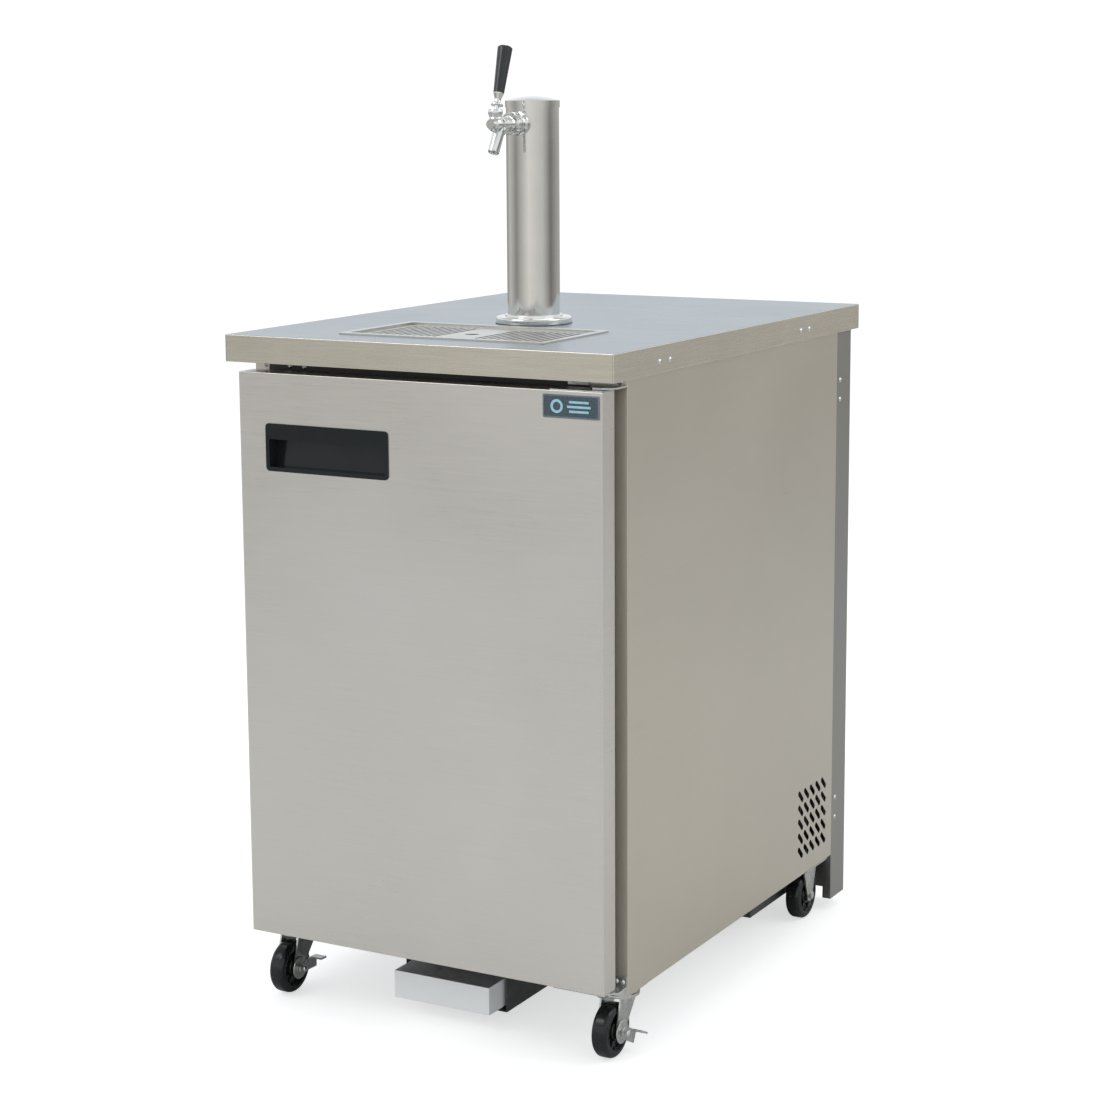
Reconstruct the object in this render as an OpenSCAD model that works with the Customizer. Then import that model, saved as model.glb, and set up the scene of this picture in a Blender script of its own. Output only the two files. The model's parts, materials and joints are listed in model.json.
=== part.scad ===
// One-tap keg cooler: insulated cabinet on castors, one solid door, folded worktop, draught tower and tap.
// Millimetres. +Z is up, the door faces -Y and hinges on its +X side.
// The origin is on the floor, below the middle of the worktop.

/* [Worktop] */
// Width of the worktop
top_w = 610; // [500:1:740]
// Depth of the worktop, front to back
top_d = 830; // [690:1:1000]
// Height of the worktop's upper face above the floor
top_z = 970; // [800:1:1170]
// Height of the worktop's folded edge
top_h = 38; // [30:0.5:50]
// Thickness of the worktop sheet
top_t = 1.2; // [0.8:0.1:2]
// Width of the lip folded in under the worktop
top_lip = 16; // [8:1:30]
// Overhang of the worktop past each side panel
side_overhang = 10; // [4:1:25]
// Distance from the worktop's front edge back to the cabinet's face
face_setback = 57; // [48:1:75]
// Distance from the worktop's back edge to the rear cover's back
rear_setback = 7; // [3:1:30]

/* [Cabinet] */
// Height of the side panels' lower edge above the floor
floor_z = 92; // [84:1:115]
// Thickness of the cabinet's sheet metal
panel_t = 1.2; // [0.8:0.1:2]
// Width of the side panel's fold across the cabinet's face
panel_return = 24; // [20:1:30]
// Depth of the rear cover
cover_d = 55; // [40:1:70]
// Height of the rear cover's lower edge above the floor
cover_z = 18; // [10:1:60]
// Insulated wall at the sides, from the panel's outside to the liner
side_wall = 45; // [38:1:60]
// Insulated floor, from the underside to the liner
floor_wall = 48; // [40:1:60]
// Insulated ceiling, from the worktop's underside to the liner
roof_wall = 45; // [38:1:60]
// Insulated back wall
back_wall = 46; // [38:1:60]
// Insulated wall between the keg space and the machine compartment
step_wall = 45; // [38:1:60]
// Thickness of the liner sheet
liner_t = 1; // [0.6:0.1:2]
// Depth of the machine compartment
machine_d = 192; // [170:1:230]
// Height of the machine compartment above the cabinet's underside
machine_h = 240; // [210:1:290]
// Drop of the machine tray below the cabinet's underside
tray_drop = 56; // [30:1:60]

/* [Vents] */
// Vent slots in a row or a column of the field
vent_n = 5; // [3:1:6]
// Spacing of the vent slots
vent_pitch = 22.5; // [18:0.5:26]
// Length of a vent slot
vent_l = 25.5; // [16:0.5:27]
// Width of a vent slot
vent_w = 8.5; // [5:0.5:9.5]
// Lean of the vent slots from upright
vent_lean = 46; // [36:1:54]

/* [Door] */
// Thickness of the door
door_t = 34; // [30:1:50]
// Gap between the door's back and the cabinet's face
door_gap = 19; // [16:0.5:24]
// Gap between the worktop's underside and the door's top
door_top_gap = 13; // [11:0.5:20]
// Height of the door's lower edge above the side panels' lower edge
door_rise = 16; // [14:0.5:30]
// Inset of the door's edge from the side panel's outside
door_inset = 9; // [4:0.5:20]
// Thickness of the door sheet
door_skin_t = 1; // [0.6:0.1:1.5]
// Thickness of the door's inner panel
door_liner_t = 3; // [2:0.5:5]
// Width of the gasket's cushion
gasket_w = 18; // [14:0.5:20]
// Width of the recessed pull
pull_w = 201; // [150:1:240]
// Height of the recessed pull
pull_h = 67; // [55:1:85]
// Depth of the recessed pull behind the door's face
pull_depth = 25; // [18:0.5:27]
// Distance from the door's free edge to the pull
pull_from_edge = 44; // [20:1:80]
// Distance from the door's top to the pull
pull_from_top = 70; // [40:1:200]
// Width of the badge plate
badge_w = 83; // [50:1:100]
// Height of the badge plate
badge_h = 31; // [20:1:50]
// Radius of the hinge pins
pin_r = 4; // [3:0.1:5]

/* [Tower] */
// Diameter of the tower column
tower_d = 76.2; // [63:0.1:92]
// Distance from the worktop's front edge to the tower's axis
tower_from_front = 335; // [310:1:420]
// Height of the column's rim above the worktop
tower_h = 318; // [265:1:400]
// Height of the shank's axis above the worktop
shank_h = 286; // [230:1:290]
// Diameter of the tower's base flange
flange_d = 110; // [100:1:130]
// Height of the tower's base flange
flange_h = 13; // [8:0.5:20]
// Wall of the tower column
tower_t = 1.5; // [1:0.1:3]

/* [Tap] */
// Radius of the shank's thread
shank_r = 11; // [10:0.1:12]
// Length of the tap handle
handle_l = 67; // [50:1:120]
// Radius of the tap handle at its top
handle_r = 10.6; // [9:0.1:14]
// Lean of the closed tap handle back from upright
handle_lean = 17; // [10:1:20]
// Outer radius of the spout
spout_r = 8; // [7:0.1:9]

/* [Drip tray] */
// Width of the drip tray over its rim
drip_w = 328; // [270:1:400]
// Depth of the drip tray over its rim
drip_d = 190; // [150:1:215]
// Distance from the worktop's front edge to the drip tray's rim
drip_from_front = 70; // [40:1:90]
// Depth of the tray's basin below the worktop's face
drip_h = 22; // [16:0.5:24]
// Width of a slot in the grille
slot_w = 5.5; // [4:0.5:7]
// Spacing of the grille's slots
slot_pitch = 11; // [9:0.5:14]

/* [Drain pan] */
// Width of the drain pan
pan_w = 156; // [120:1:200]
// Length of the drain pan
pan_l = 250; // [200:1:320]
// Height of the drain pan
pan_h = 40; // [30:1:44]
// Height of the drain pan's underside above the floor
pan_z = 26; // [24:0.5:30]
// Distance that the pan stands out from its shroud
pan_proud = 40; // [20:1:50]

/* [Castors] */
// Diameter of the castor wheels
wheel_d = 76; // [64:1:80]
// Width of the castor wheels
wheel_w = 24; // [20:1:28]
// Inset of the castors from the side panels' outside
caster_in = 30; // [29:1:50]
// Distance from the cabinet's face back to the front swivel axis
front_caster = 33; // [32:1:60]
// Distance from the side panel's back edge to the rear axle
rear_caster = 50; // [46:1:80]
// Offset of the front axle from the swivel axis
trail = 27; // [20:1:32]
// Radius of the castor axles
axle_r = 4; // [3:0.1:5]

/* [Hidden] */
$fn = 48;

// Small amount that a cut runs past the face it cuts
eps = 1;
// Clearance between pieces that sit in or beside each other without moving
seat = 0.2;
// Clearance between faces that pass each other
slip = 0.5;
// Radial clearance of a pin or shaft that turns in its bore
running = 0.06;

// Worktop
top_x = top_w / 2;
front_edge = -top_d / 2;
back_edge = top_d / 2;
top_under = top_z - top_h;

// Cabinet
body_x = top_x - side_overhang;
face_y = front_edge + face_setback;
cover_back = back_edge - rear_setback;
panel_back = cover_back - cover_d;
inner_x = body_x - side_wall;
foam_x = body_x - panel_t - seat;
frame_t = 20;
frame_proud = 4;
foam_front = face_y + frame_t + seat;
shell_back = panel_back - panel_t - seat;
machine_y = panel_back - machine_d;
machine_top = floor_z + machine_h;
keg_floor = floor_z + floor_wall;
keg_roof = top_under - roof_wall;
keg_back = panel_back - back_wall;
step_y = machine_y - step_wall;
step_z = machine_top + step_wall;
tray_z = floor_z - tray_drop;
tray_x = body_x - caster_in - wheel_w / 2 - 12;

// Vent field, centred on the machine compartment's depth
vent_y = panel_back - 79.5;
vent_z = floor_z + 83;

// Screws
screw_r = 4;
screw_head = 2.2;
screw_shank_r = 2;
top_screws = [front_edge + 131, front_edge + 162, back_edge - 228, back_edge - 197];
top_screw_z = top_under + 16;
cover_screw_y = panel_back + 13;
cover_screws = [top_under - 77, top_under - 107, floor_z + 92, floor_z + 60];

// Door
door_x = body_x - door_inset;
door_top = top_under - door_top_gap;
door_bottom = floor_z + door_rise;
door_back = face_y - door_gap;
door_front = door_back - door_t;
hinge_x = door_x - 14;
hinge_y = door_back - 11;
bush_r = pin_r + 3;
bush_h = 14;
gasket_x = hinge_x - 6;
gasket_top = door_top - 6;
gasket_bottom = door_bottom + 5;
fitting_t = 1.5;
fitting_w = 78;
pull_x = -door_x + pull_from_edge + pull_w / 2;
pull_z = door_top - pull_from_top - pull_h / 2;
pull_rim = 4;
badge_x = door_x - 4 - badge_w / 2;
badge_z = door_top - 5 - badge_h / 2;
badge_t = 1.4;

// Hinge brackets
arm_t = 2.5;
arm_front = hinge_y - 11;
top_arm_z = door_top + fitting_t + slip;
bottom_arm_z = door_bottom - fitting_t - slip - arm_t;
top_flange_x = door_x - fitting_w;
top_flange_t = 2;
top_hinge_screws = [top_flange_x + 8, top_flange_x + 32, body_x - 10];
bottom_hinge_screws = [body_x - 17, body_x - 7.5];
bottom_screw_z = floor_z + 20;
spare_screws = [-body_x + 17, -body_x + 59, -body_x + 83];
hinge_screw_z = top_under - 4.2;
spare_screw_z = top_under - 9;

// Tower and tap
tower_r = tower_d / 2;
tower_y = front_edge + tower_from_front;
tower_hole_r = 30;
shank_z = top_z + shank_h;
column_z = top_z + 4;
rim_z = top_z + tower_h;
cap_band = 10;
cap_over = 1.2;
cap_dome = 6;
// Places along the tap, measured forwards from the column's axis
collar_end = tower_r + 9;
nut_start = collar_end + slip;
nut_end = nut_start + 20;
shank_end = nut_start + 12;
nose_at = tower_r + 67;
barrel_end = nose_at + 8;
nose_end = nose_at + 15;
barrel_r = 9.5;
bore_r = 5.6;
seat_r = 4.2;
pivot_z = shank_z + 12;
boss_r = 8.8;
ball_r = 6.4;
bonnet_r = 10.5;
bonnet_top = pivot_z + 9;
lever_arm = 10;
stem_r = 3.2;
collar_at = 14;
ferrule_at = 19;
handle_at = 32;
spout_lean = 29;
spout_l = 45;
spout_start = nose_at - 15;
washer_r = 5.4;
valve_r = 2.5;
valve_head = 5;
line_r = 5;
line_bore = 2.4;
line_bend = 12;
shank_tail = 14;

// Drip tray
drip_x = drip_w / 2;
drip_y0 = front_edge + drip_from_front;
drip_y1 = drip_y0 + drip_d;
drip_mid = (drip_y0 + drip_y1) / 2;
rim_up = 2;
rim_w = 11;
basin_x = drip_x - rim_w;
basin_y0 = drip_y0 + rim_w;
basin_y1 = drip_y1 - rim_w;
basin_z = top_z - drip_h;
tray_t = 1;
ledge = 5;
ledge_z = top_z - 3;
grille_t = 1.5;
plain_half = 26;
slot_end = 12;
grille_hole_r = 10;
slots_a_side = floor((basin_x - plain_half - 12) / slot_pitch);

// Drain
drain_r = 7;
drain_t = 1.5;
drain_bend = 14;
drain_x = -basin_x + 60;
drain_roof = keg_roof + roof_wall / 2 - 2;
drain_wall = -body_x + side_wall / 2;
drain_floor = floor_z + floor_wall / 2;
shroud_x = pan_w / 2 + 5.5;
shroud_z = pan_z - 8;
pan_front = face_y - 2;
shroud_front = pan_front + pan_proud;
shroud_back = pan_front + pan_l + 12;
pan_t = 1.5;
outlet_y = drip_mid;
drain_route = [
    [drain_x, outlet_y, basin_z - seat],
    [drain_x, outlet_y, drain_roof],
    [drain_wall, outlet_y, drain_roof],
    [drain_wall, outlet_y, drain_floor],
    [0, outlet_y, drain_floor],
    [0, outlet_y, pan_z + pan_h + 6]
];

// Machine compartment
fan_r = 60;
fan_z = machine_top - 82;
machine_mid = (machine_y + shell_back) / 2;
coil_x1 = body_x - 30;
coil_x0 = coil_x1 - 44;
coil_y0 = machine_y + 14;
coil_y1 = shell_back - 14;
coil_z0 = floor_z + 14;
coil_z1 = machine_top - 14;
shroud_plate_x = coil_x0 - 34;
motor_r = 22;
motor_l = 42;
motor_shaft_r = 2.5;
fan_x = shroud_plate_x - 16;
pot_x = -inner_x + 110;
pot_r = 72;
pot_h = 150;

// Copper lines and the cord's gland
suction_x = -inner_x + 22;
liquid_x = -inner_x + 44;
pipe_r = 4;
pipe_bend = 10;
gland_x = -body_x + 120;
gland_z = floor_z + 20;
gland_neck_r = 8;
gland_bore_r = 5;

// Evaporator
evap_x = inner_x - 60;
evap_z0 = keg_roof - 118;
evap_z1 = keg_roof - 8;
evap_front = keg_back - 96;
evap_fan_r = 44;
evap_fan_x = -evap_x + 70;
evap_fan_z = (evap_z0 + evap_z1) / 2;
stat_x = evap_x - 34;
knob_r = 16;

// Castors
caster_x = body_x - caster_in;
swivel_y = face_y + front_caster;
front_axle_y = swivel_y - trail;
rear_axle_y = panel_back - rear_caster;
wheel_r = wheel_d / 2;
plate_t = 3;
race_t = 2;
leg_t = 2.5;
leg_gap = 1.5;
leg_x = wheel_w / 2 + leg_gap;
crown_r = 28;
crown_t = 4;
crown_top = floor_z - plate_t - race_t - slip;
crown_under = crown_top - crown_t;
king_r = 5;
bolt_head = 4;
tyre_round = 7;
brake_at = leg_x + leg_t + slip;
brake_t = 2.5;
brake_r = 16.5;
brake_reach = 42;
pedal_w = 20;
brake_down = 28;
brake_up = 2;

// A box given by its lowest and highest corners
module block(lo, hi) {
    translate(lo) cube(hi - lo);
}

// Its children, and their mirror image across the middle plane
module both() {
    children();
    mirror([1, 0, 0]) children();
}

// A rectangle with round corners, centred
module rounded(w, h, r) {
    square([w - 2 * r, h], center = true);
    square([w, h - 2 * r], center = true);
    for (x = [-1, 1], y = [-1, 1])
        translate([x * (w / 2 - r), y * (h / 2 - r)]) circle(r);
}

// A slot with round ends, centred, its long side along Y
module slot2d(l, w) {
    square([w, l - w], center = true);
    for (y = [-1, 1])
        translate([0, y * (l - w) / 2]) circle(d = w);
}

// An outline in Y and Z, extruded across X from x0 to x1
module across(x0, x1) {
    translate([x0, 0, 0]) rotate([90, 0, 90]) linear_extrude(x1 - x0) children();
}

// An outline in X and Z, extruded back along Y from y0 to y1
module along(y0, y1) {
    translate([0, y1, 0]) rotate([90, 0, 0]) linear_extrude(y1 - y0) children();
}

// A round bar between two points
module bar(a, b, r) {
    v = b - a;
    translate(a) rotate([0, acos(v.z / norm(v)), atan2(v.y, v.x)]) cylinder(h = norm(v), r = r);
}

// A quarter bend at p, from the direction u to the direction v
module elbow(p, u, v, r, bend) {
    c = p + bend * (v - u);
    w = cross(u, v);
    multmatrix([[-v.x, u.x, w.x, c.x], [-v.y, u.y, w.y, c.y], [-v.z, u.z, w.z, c.z]])
        rotate_extrude(angle = 90) translate([bend, 0]) circle(r);
}

// A round bar along a list of points, square to the axes, with a quarter bend at each corner
module route(points, r, bend) {
    last = len(points) - 2;
    way = [for (i = [0 : last]) (points[i + 1] - points[i]) / norm(points[i + 1] - points[i])];
    for (i = [0 : last])
        bar(points[i] + (i > 0 ? bend : 0) * way[i], points[i + 1] - (i < last ? bend : 0) * way[i], r);
    for (i = [1 : last])
        elbow(points[i], way[i - 1], way[i], r, bend);
}

// A cylinder that runs forwards from the column's axis at the shank's height
module forward(from, to, r, r2 = undef) {
    translate([0, tower_y - from, shank_z]) rotate([90, 0, 0])
        cylinder(h = to - from, r1 = r, r2 = is_undef(r2) ? r : r2);
}

// A pan-head screw that stands on the face z = 0 and points down
module screw(shank) {
    dome_r = (screw_r * screw_r + screw_head * screw_head) / (2 * screw_head);
    difference() {
        intersection() {
            translate([0, 0, screw_head - dome_r]) sphere(dome_r);
            cylinder(h = screw_head, r = screw_r);
        }
        for (a = [0, 90])
            rotate(a) translate([-2, -0.5, screw_head - 1]) cube([4, 1, 2]);
    }
    translate([0, 0, -shank]) cylinder(h = shank, r = screw_shank_r);
}

// Places and turns its child at each screw; the child points out along its own Z
module at_top_screws() {
    both() for (y = top_screws)
        translate([top_x, y, top_screw_z]) rotate([0, 90, 0]) children();
}

module at_cover_screws() {
    both() for (z = cover_screws)
        translate([body_x, cover_screw_y, z]) rotate([0, 90, 0]) children();
}

module at_top_hinge_screws() {
    for (x = top_hinge_screws)
        translate([x, face_y - top_flange_t, hinge_screw_z]) rotate([90, 0, 0]) children();
}

module at_bottom_hinge_screws() {
    for (x = bottom_hinge_screws)
        translate([x, face_y - top_flange_t, bottom_screw_z]) rotate([90, 0, 0]) children();
}

module at_spare_screws() {
    for (x = spare_screws)
        translate([x, face_y, spare_screw_z]) rotate([90, 0, 0]) children();
}

// Holes that the screws leave, a little wider than their shanks
module screw_hole(depth) {
    translate([0, 0, -depth - seat]) cylinder(h = depth + seat + eps, r = screw_shank_r + seat);
}

module face_screw_holes() {
    at_top_hinge_screws() screw_hole(8);
    at_bottom_hinge_screws() screw_hole(8);
    at_spare_screws() screw_hole(6);
}

module panel_screws() {
    color("silver") {
        at_top_screws() screw(9);
        at_cover_screws() screw(4);
        at_top_hinge_screws() screw(8);
        at_bottom_hinge_screws() screw(8);
        at_spare_screws() screw(6);
    }
}

module worktop() {
    color("lightsteelblue") difference() {
        block([-top_x, front_edge, top_under], [top_x, back_edge, top_z]);
        block([-top_x + top_t, front_edge + top_t, top_under + top_t],
              [top_x - top_t, back_edge - top_t, top_z - top_t]);
        block([-top_x + top_lip, front_edge + top_lip, top_under - eps],
              [top_x - top_lip, back_edge - top_lip, top_under + top_t + eps]);
        block([-basin_x - slip, basin_y0 - slip, top_z - top_t - eps],
              [basin_x + slip, basin_y1 + slip, top_z + eps]);
        translate([0, tower_y, top_z - top_t - eps]) cylinder(h = top_t + 2 * eps, r = tower_hole_r);
        at_top_screws() screw_hole(9);
    }
}

module worktop_core() {
    color("tan") difference() {
        block([-top_x + top_t + seat, front_edge + top_t + seat, top_under + top_t + seat],
              [top_x - top_t - seat, back_edge - top_t - seat, top_z - top_t - seat]);
        block([-basin_x - slip, basin_y0 - slip, basin_z - slip],
              [basin_x + slip, basin_y1 + slip, top_z]);
        translate([0, tower_y, top_under]) cylinder(h = top_h, r = tower_hole_r);
        translate([drain_x, outlet_y, top_under]) cylinder(h = top_h, r = drain_r + seat);
        at_top_screws() screw_hole(9);
    }
}

// One vent slot, leaning forward at its top
module vent_slot() {
    rotate([0, 0, vent_lean]) slot2d(vent_l, vent_w);
}

// The right side panel: outer sheet, fold across the face, fold at the back, vent field
module side_panel() {
    difference() {
        union() {
            block([body_x - panel_t, face_y, floor_z], [body_x, panel_back, top_under - seat]);
            block([body_x - panel_return, face_y, floor_z], [body_x, face_y + panel_t, top_under - seat]);
            block([body_x - 14, panel_back - panel_t, floor_z],
                  [body_x, panel_back, top_under - seat]);
        }
        across(body_x - panel_t - eps, body_x + eps)
            for (i = [0 : vent_n - 1], j = [0 : vent_n - 1])
                translate([vent_y + (i - (vent_n - 1) / 2) * vent_pitch,
                           vent_z + (j - (vent_n - 1) / 2) * vent_pitch])
                    vent_slot();
    }
}

module side_panel_right() {
    color("darkkhaki") difference() {
        side_panel();
        face_screw_holes();
    }
}

module side_panel_left() {
    color("darkkhaki") difference() {
        mirror([1, 0, 0]) side_panel();
        face_screw_holes();
    }
}

// A field of horizontal louvre slots in the rear cover, centred on z
module louvres(z, rows) {
    for (x = [-1.5 : 1 : 1.5], j = [0 : rows - 1])
        translate([x * (2 * body_x - 90) / 4, z + (j - (rows - 1) / 2) * 22])
            rotate(90) slot2d((2 * body_x - 90) / 4 - 24, 6);
}

module rear_cover() {
    fold = 14;
    color("gray") difference() {
        block([-body_x, panel_back + seat, cover_z], [body_x, cover_back, top_under - seat]);
        block([-body_x + panel_t, panel_back + seat + panel_t, cover_z - eps],
              [body_x - panel_t, cover_back - panel_t, top_under]);
        block([-body_x + fold, panel_back - eps, cover_z - eps],
              [body_x - fold, cover_back - panel_t, top_under]);
        along(cover_back - panel_t - eps, cover_back + eps) {
            louvres(floor_z + machine_h / 2, 9);
            louvres(top_under - 90, 3);
        }
        at_cover_screws() screw_hole(4);
        translate([gland_x, cover_back + eps, gland_z]) rotate([90, 0, 0])
            cylinder(h = panel_t + 2 * eps, r = gland_neck_r + seat);
    }
}

// Galvanised outer shell: floor, machine compartment's wall and roof, back
module cabinet_shell() {
    y0 = foam_front;
    y1 = shell_back;
    t = panel_t;
    color("gainsboro") difference() {
        across(-foam_x, foam_x) polygon([
            [y0, floor_z], [machine_y, floor_z], [machine_y, machine_top - t], [y1, machine_top - t],
            [y1, top_under - seat], [y1 - t, top_under - seat], [y1 - t, machine_top],
            [machine_y - t, machine_top], [machine_y - t, floor_z + t], [y0, floor_z + t]
        ]);
        translate([0, outlet_y, floor_z - eps]) cylinder(h = t + 2 * eps, r = drain_r + seat);
        line_holes();
    }
}

module front_frame() {
    color("dimgray") difference() {
        union() {
            block([-body_x + panel_return + seat, face_y, floor_z + seat],
                  [body_x - panel_return - seat, face_y + frame_t, top_under - seat]);
            block([-gasket_x - 1, face_y - frame_proud, gasket_bottom - 1],
                  [gasket_x + 1, face_y, gasket_top + 1]);
        }
        block([-inner_x, face_y - frame_proud - eps, keg_floor],
              [inner_x, face_y + frame_t + eps, keg_roof]);
        face_screw_holes();
    }
}

// The liner's outside, open to the front, with its step over the machine compartment
module keg_space(inset) {
    across(-inner_x + inset, inner_x - inset) polygon([
        [foam_front - (inset > 0 ? eps : 0), keg_floor + inset], [step_y - inset, keg_floor + inset],
        [step_y - inset, step_z + inset], [keg_back - inset, step_z + inset],
        [keg_back - inset, keg_roof - inset],
        [foam_front - (inset > 0 ? eps : 0), keg_roof - inset]
    ]);
}

module inner_liner() {
    color("white") difference() {
        keg_space(seat);
        keg_space(liner_t + seat);
        translate([0, tower_y, keg_roof - liner_t - eps])
            cylinder(h = liner_t + 2 * eps, r = tower_hole_r);
        line_holes();
    }
}

module cabinet_insulation() {
    color("khaki") difference() {
        across(-foam_x, foam_x) polygon([
            [foam_front, floor_z + panel_t + seat],
            [machine_y - panel_t - seat, floor_z + panel_t + seat],
            [machine_y - panel_t - seat, machine_top + seat],
            [shell_back - panel_t - seat, machine_top + seat],
            [shell_back - panel_t - seat, top_under - seat], [foam_front, top_under - seat]
        ]);
        keg_space(0);
        translate([0, tower_y, keg_roof - eps]) cylinder(h = roof_wall + 2 * eps, r = tower_hole_r);
        route(drain_route, drain_r + seat, drain_bend);
        block([-body_x, face_y - eps, floor_z - eps],
              [-body_x + panel_return + seat, foam_front + 2, top_under]);
        block([body_x - panel_return - seat, face_y - eps, floor_z - eps],
              [body_x, foam_front + 2, top_under]);
        line_holes();
    }
}

module machine_tray() {
    t = panel_t;
    y1 = shell_back - 6;
    y0 = machine_y + seat;
    color("dimgray") {
        difference() {
            block([-tray_x, y0, tray_z], [tray_x, y1, floor_z - seat]);
            block([-tray_x + t, y0 + t, tray_z + t], [tray_x - t, y1 - t, floor_z + eps]);
        }
        both() block([tray_x - t, y0, floor_z - seat - t], [foam_x, y1, floor_z - seat]);
    }
}

module compressor() {
    base = tray_z + panel_t;
    color("black") translate([pot_x, machine_mid, base]) {
        translate([0, 0, 14]) cylinder(h = pot_h - 44, r = pot_r);
        translate([0, 0, pot_h - 30]) intersection() {
            sphere(pot_r);
            cylinder(h = 30, r = pot_r);
        }
        block([-pot_r - 14, -58, 10], [pot_r + 14, 58, 15]);
        for (x = [-1, 1], y = [-1, 1])
            translate([x * (pot_r + 2), y * 46, 0]) cylinder(h = 10, r = 9);
        block([pot_r - 6, -22, 48], [pot_r + 16, 22, 96]);
    }
}

// Finned coil: end plates, fins and crosswise tubes
module coil(lo, hi, fins, rows, tube_r) {
    step = (hi.z - lo.z) / rows;
    span = hi.y - lo.y;
    mid = (lo.x + hi.x) / 2;
    for (i = [0 : fins - 1]) {
        y = lo.y + i * (span - 2) / (fins - 1);
        block([lo.x, y, lo.z], [hi.x, y + 2, hi.z]);
    }
    for (j = [0 : rows - 1])
        bar([mid, lo.y + 1, lo.z + (j + 0.5) * step], [mid, hi.y - 1, lo.z + (j + 0.5) * step], tube_r);
}

module condenser() {
    color("darkslategray") {
        coil([coil_x0, coil_y0, coil_z0], [coil_x1, coil_y1, coil_z1], 13, 6, 6);
        for (y = [coil_y0, coil_y1 - 12])
            block([coil_x0 + 4, y, floor_z], [coil_x1 - 4, y + 12, coil_z0]);
    }
}

module condenser_shroud() {
    t = 1.5;
    color("silver") difference() {
        block([shroud_plate_x, coil_y0, floor_z], [coil_x0 - slip, coil_y1, coil_z1]);
        block([shroud_plate_x + t, coil_y0 + t, coil_z0], [coil_x0, coil_y1 - t, coil_z1 - t]);
        block([shroud_plate_x + t, coil_y0 - eps, floor_z - eps],
              [coil_x0, coil_y1 + eps, coil_z0 - t]);
        translate([shroud_plate_x - eps, machine_mid, fan_z]) rotate([0, 90, 0])
            cylinder(h = t + 2 * eps, r = fan_r + 4);
    }
}

// Blades of a fan that turns about Z, its hub bored for the motor's shaft
module fan(r, hub_r, depth, count, pitch) {
    difference() {
        union() {
            cylinder(h = depth, r = hub_r);
            intersection() {
                cylinder(h = depth, r = r);
                for (i = [0 : count - 1])
                    rotate(i * 360 / count) translate([0, 0, depth / 2]) rotate([pitch, 0, 0])
                        block([0, -r * 0.32, -0.9], [r + 5, r * 0.32, 0.9]);
            }
        }
        translate([0, 0, -eps]) cylinder(h = depth + 2 * eps, r = motor_shaft_r + running);
    }
}

module condenser_fan() {
    color("black") translate([fan_x, machine_mid, fan_z]) rotate([0, 90, 0]) fan(fan_r, 15, 14, 5, 24);
}

module evaporator_fan() {
    color("black") translate([evap_fan_x, evap_front + 6, evap_fan_z]) rotate([-90, 0, 0])
        fan(evap_fan_r, 12, 12, 5, 24);
}

// Motor whose shaft stands out along Z from its face at z = 0, with two arms and their struts
module motor(arm, shaft, strut) {
    arm_z = -motor_l + 6;
    translate([0, 0, -motor_l]) cylinder(h = motor_l, r = motor_r);
    cylinder(h = shaft, r = motor_shaft_r);
    for (a = [0, 180]) rotate(a) {
        block([0, -6, arm_z - 1.5], [arm, 6, arm_z + 1.5]);
        block([arm - 8, -4, arm_z], [arm, 4, arm_z + strut]);
    }
}

module fan_motors() {
    color("dimgray") {
        translate([fan_x - 4, machine_mid, fan_z]) rotate([0, 90, 0]) rotate(90)
            motor(fan_r + 14, 16, motor_l - 6 + shroud_plate_x - fan_x + 4 - seat);
        translate([evap_fan_x, evap_front + 22, evap_fan_z]) rotate([90, 0, 0]) rotate(90)
            motor((evap_z1 - evap_z0) / 2 - panel_t - seat, 14, 12);
    }
}

module evaporator() {
    color("lightgray")
        coil([-evap_x + 130, keg_back - 62, evap_z0 + 10], [evap_x - 12, keg_back - 6, evap_z1 - 6],
             5, 4, 5);
}

module evaporator_cover() {
    t = panel_t;
    color("white") difference() {
        block([-evap_x, evap_front, evap_z0], [evap_x, keg_back - liner_t - 2 * seat, evap_z1]);
        block([-evap_x + t, evap_front + t, evap_z0 + t], [evap_x - t, keg_back, evap_z1 - t]);
        translate([evap_fan_x, evap_front - eps, evap_fan_z]) rotate([-90, 0, 0])
            cylinder(h = t + 2 * eps, r = evap_fan_r + 3);
        translate([stat_x, evap_front - eps, evap_fan_z]) rotate([-90, 0, 0])
            cylinder(h = t + 2 * eps, r = 4);
        for (i = [0 : 7])
            block([evap_fan_x + 70 + i * 16, evap_front + 20, evap_z0 - eps],
                  [evap_fan_x + 78 + i * 16, keg_back - 20, evap_z0 + t + eps]);
    }
}

module thermostat() {
    color("dimgray") translate([stat_x, evap_front + panel_t + seat, evap_fan_z]) rotate([-90, 0, 0]) {
        block([-20, -26, 0], [20, 26, 24]);
        translate([0, 0, -12]) cylinder(h = 13, r = 3);
    }
}

module thermostat_knob() {
    color("black") translate([stat_x, evap_front - slip, evap_fan_z]) rotate([90, 0, 0]) difference() {
        union() {
            cylinder(h = 6, r = knob_r);
            cylinder(h = 16, r = knob_r - 4);
        }
        translate([0, 0, -eps]) cylinder(h = 13, r = 3 + running);
        block([-1, 4, 14.5], [1, knob_r, 17]);
    }
}

// Copper lines between the compressor, the condenser and the evaporator
module line_holes() {
    for (x = [suction_x, liquid_x])
        bar([x, machine_mid, machine_top - 20], [x, machine_mid, step_z + 10], pipe_r + seat);
}

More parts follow.
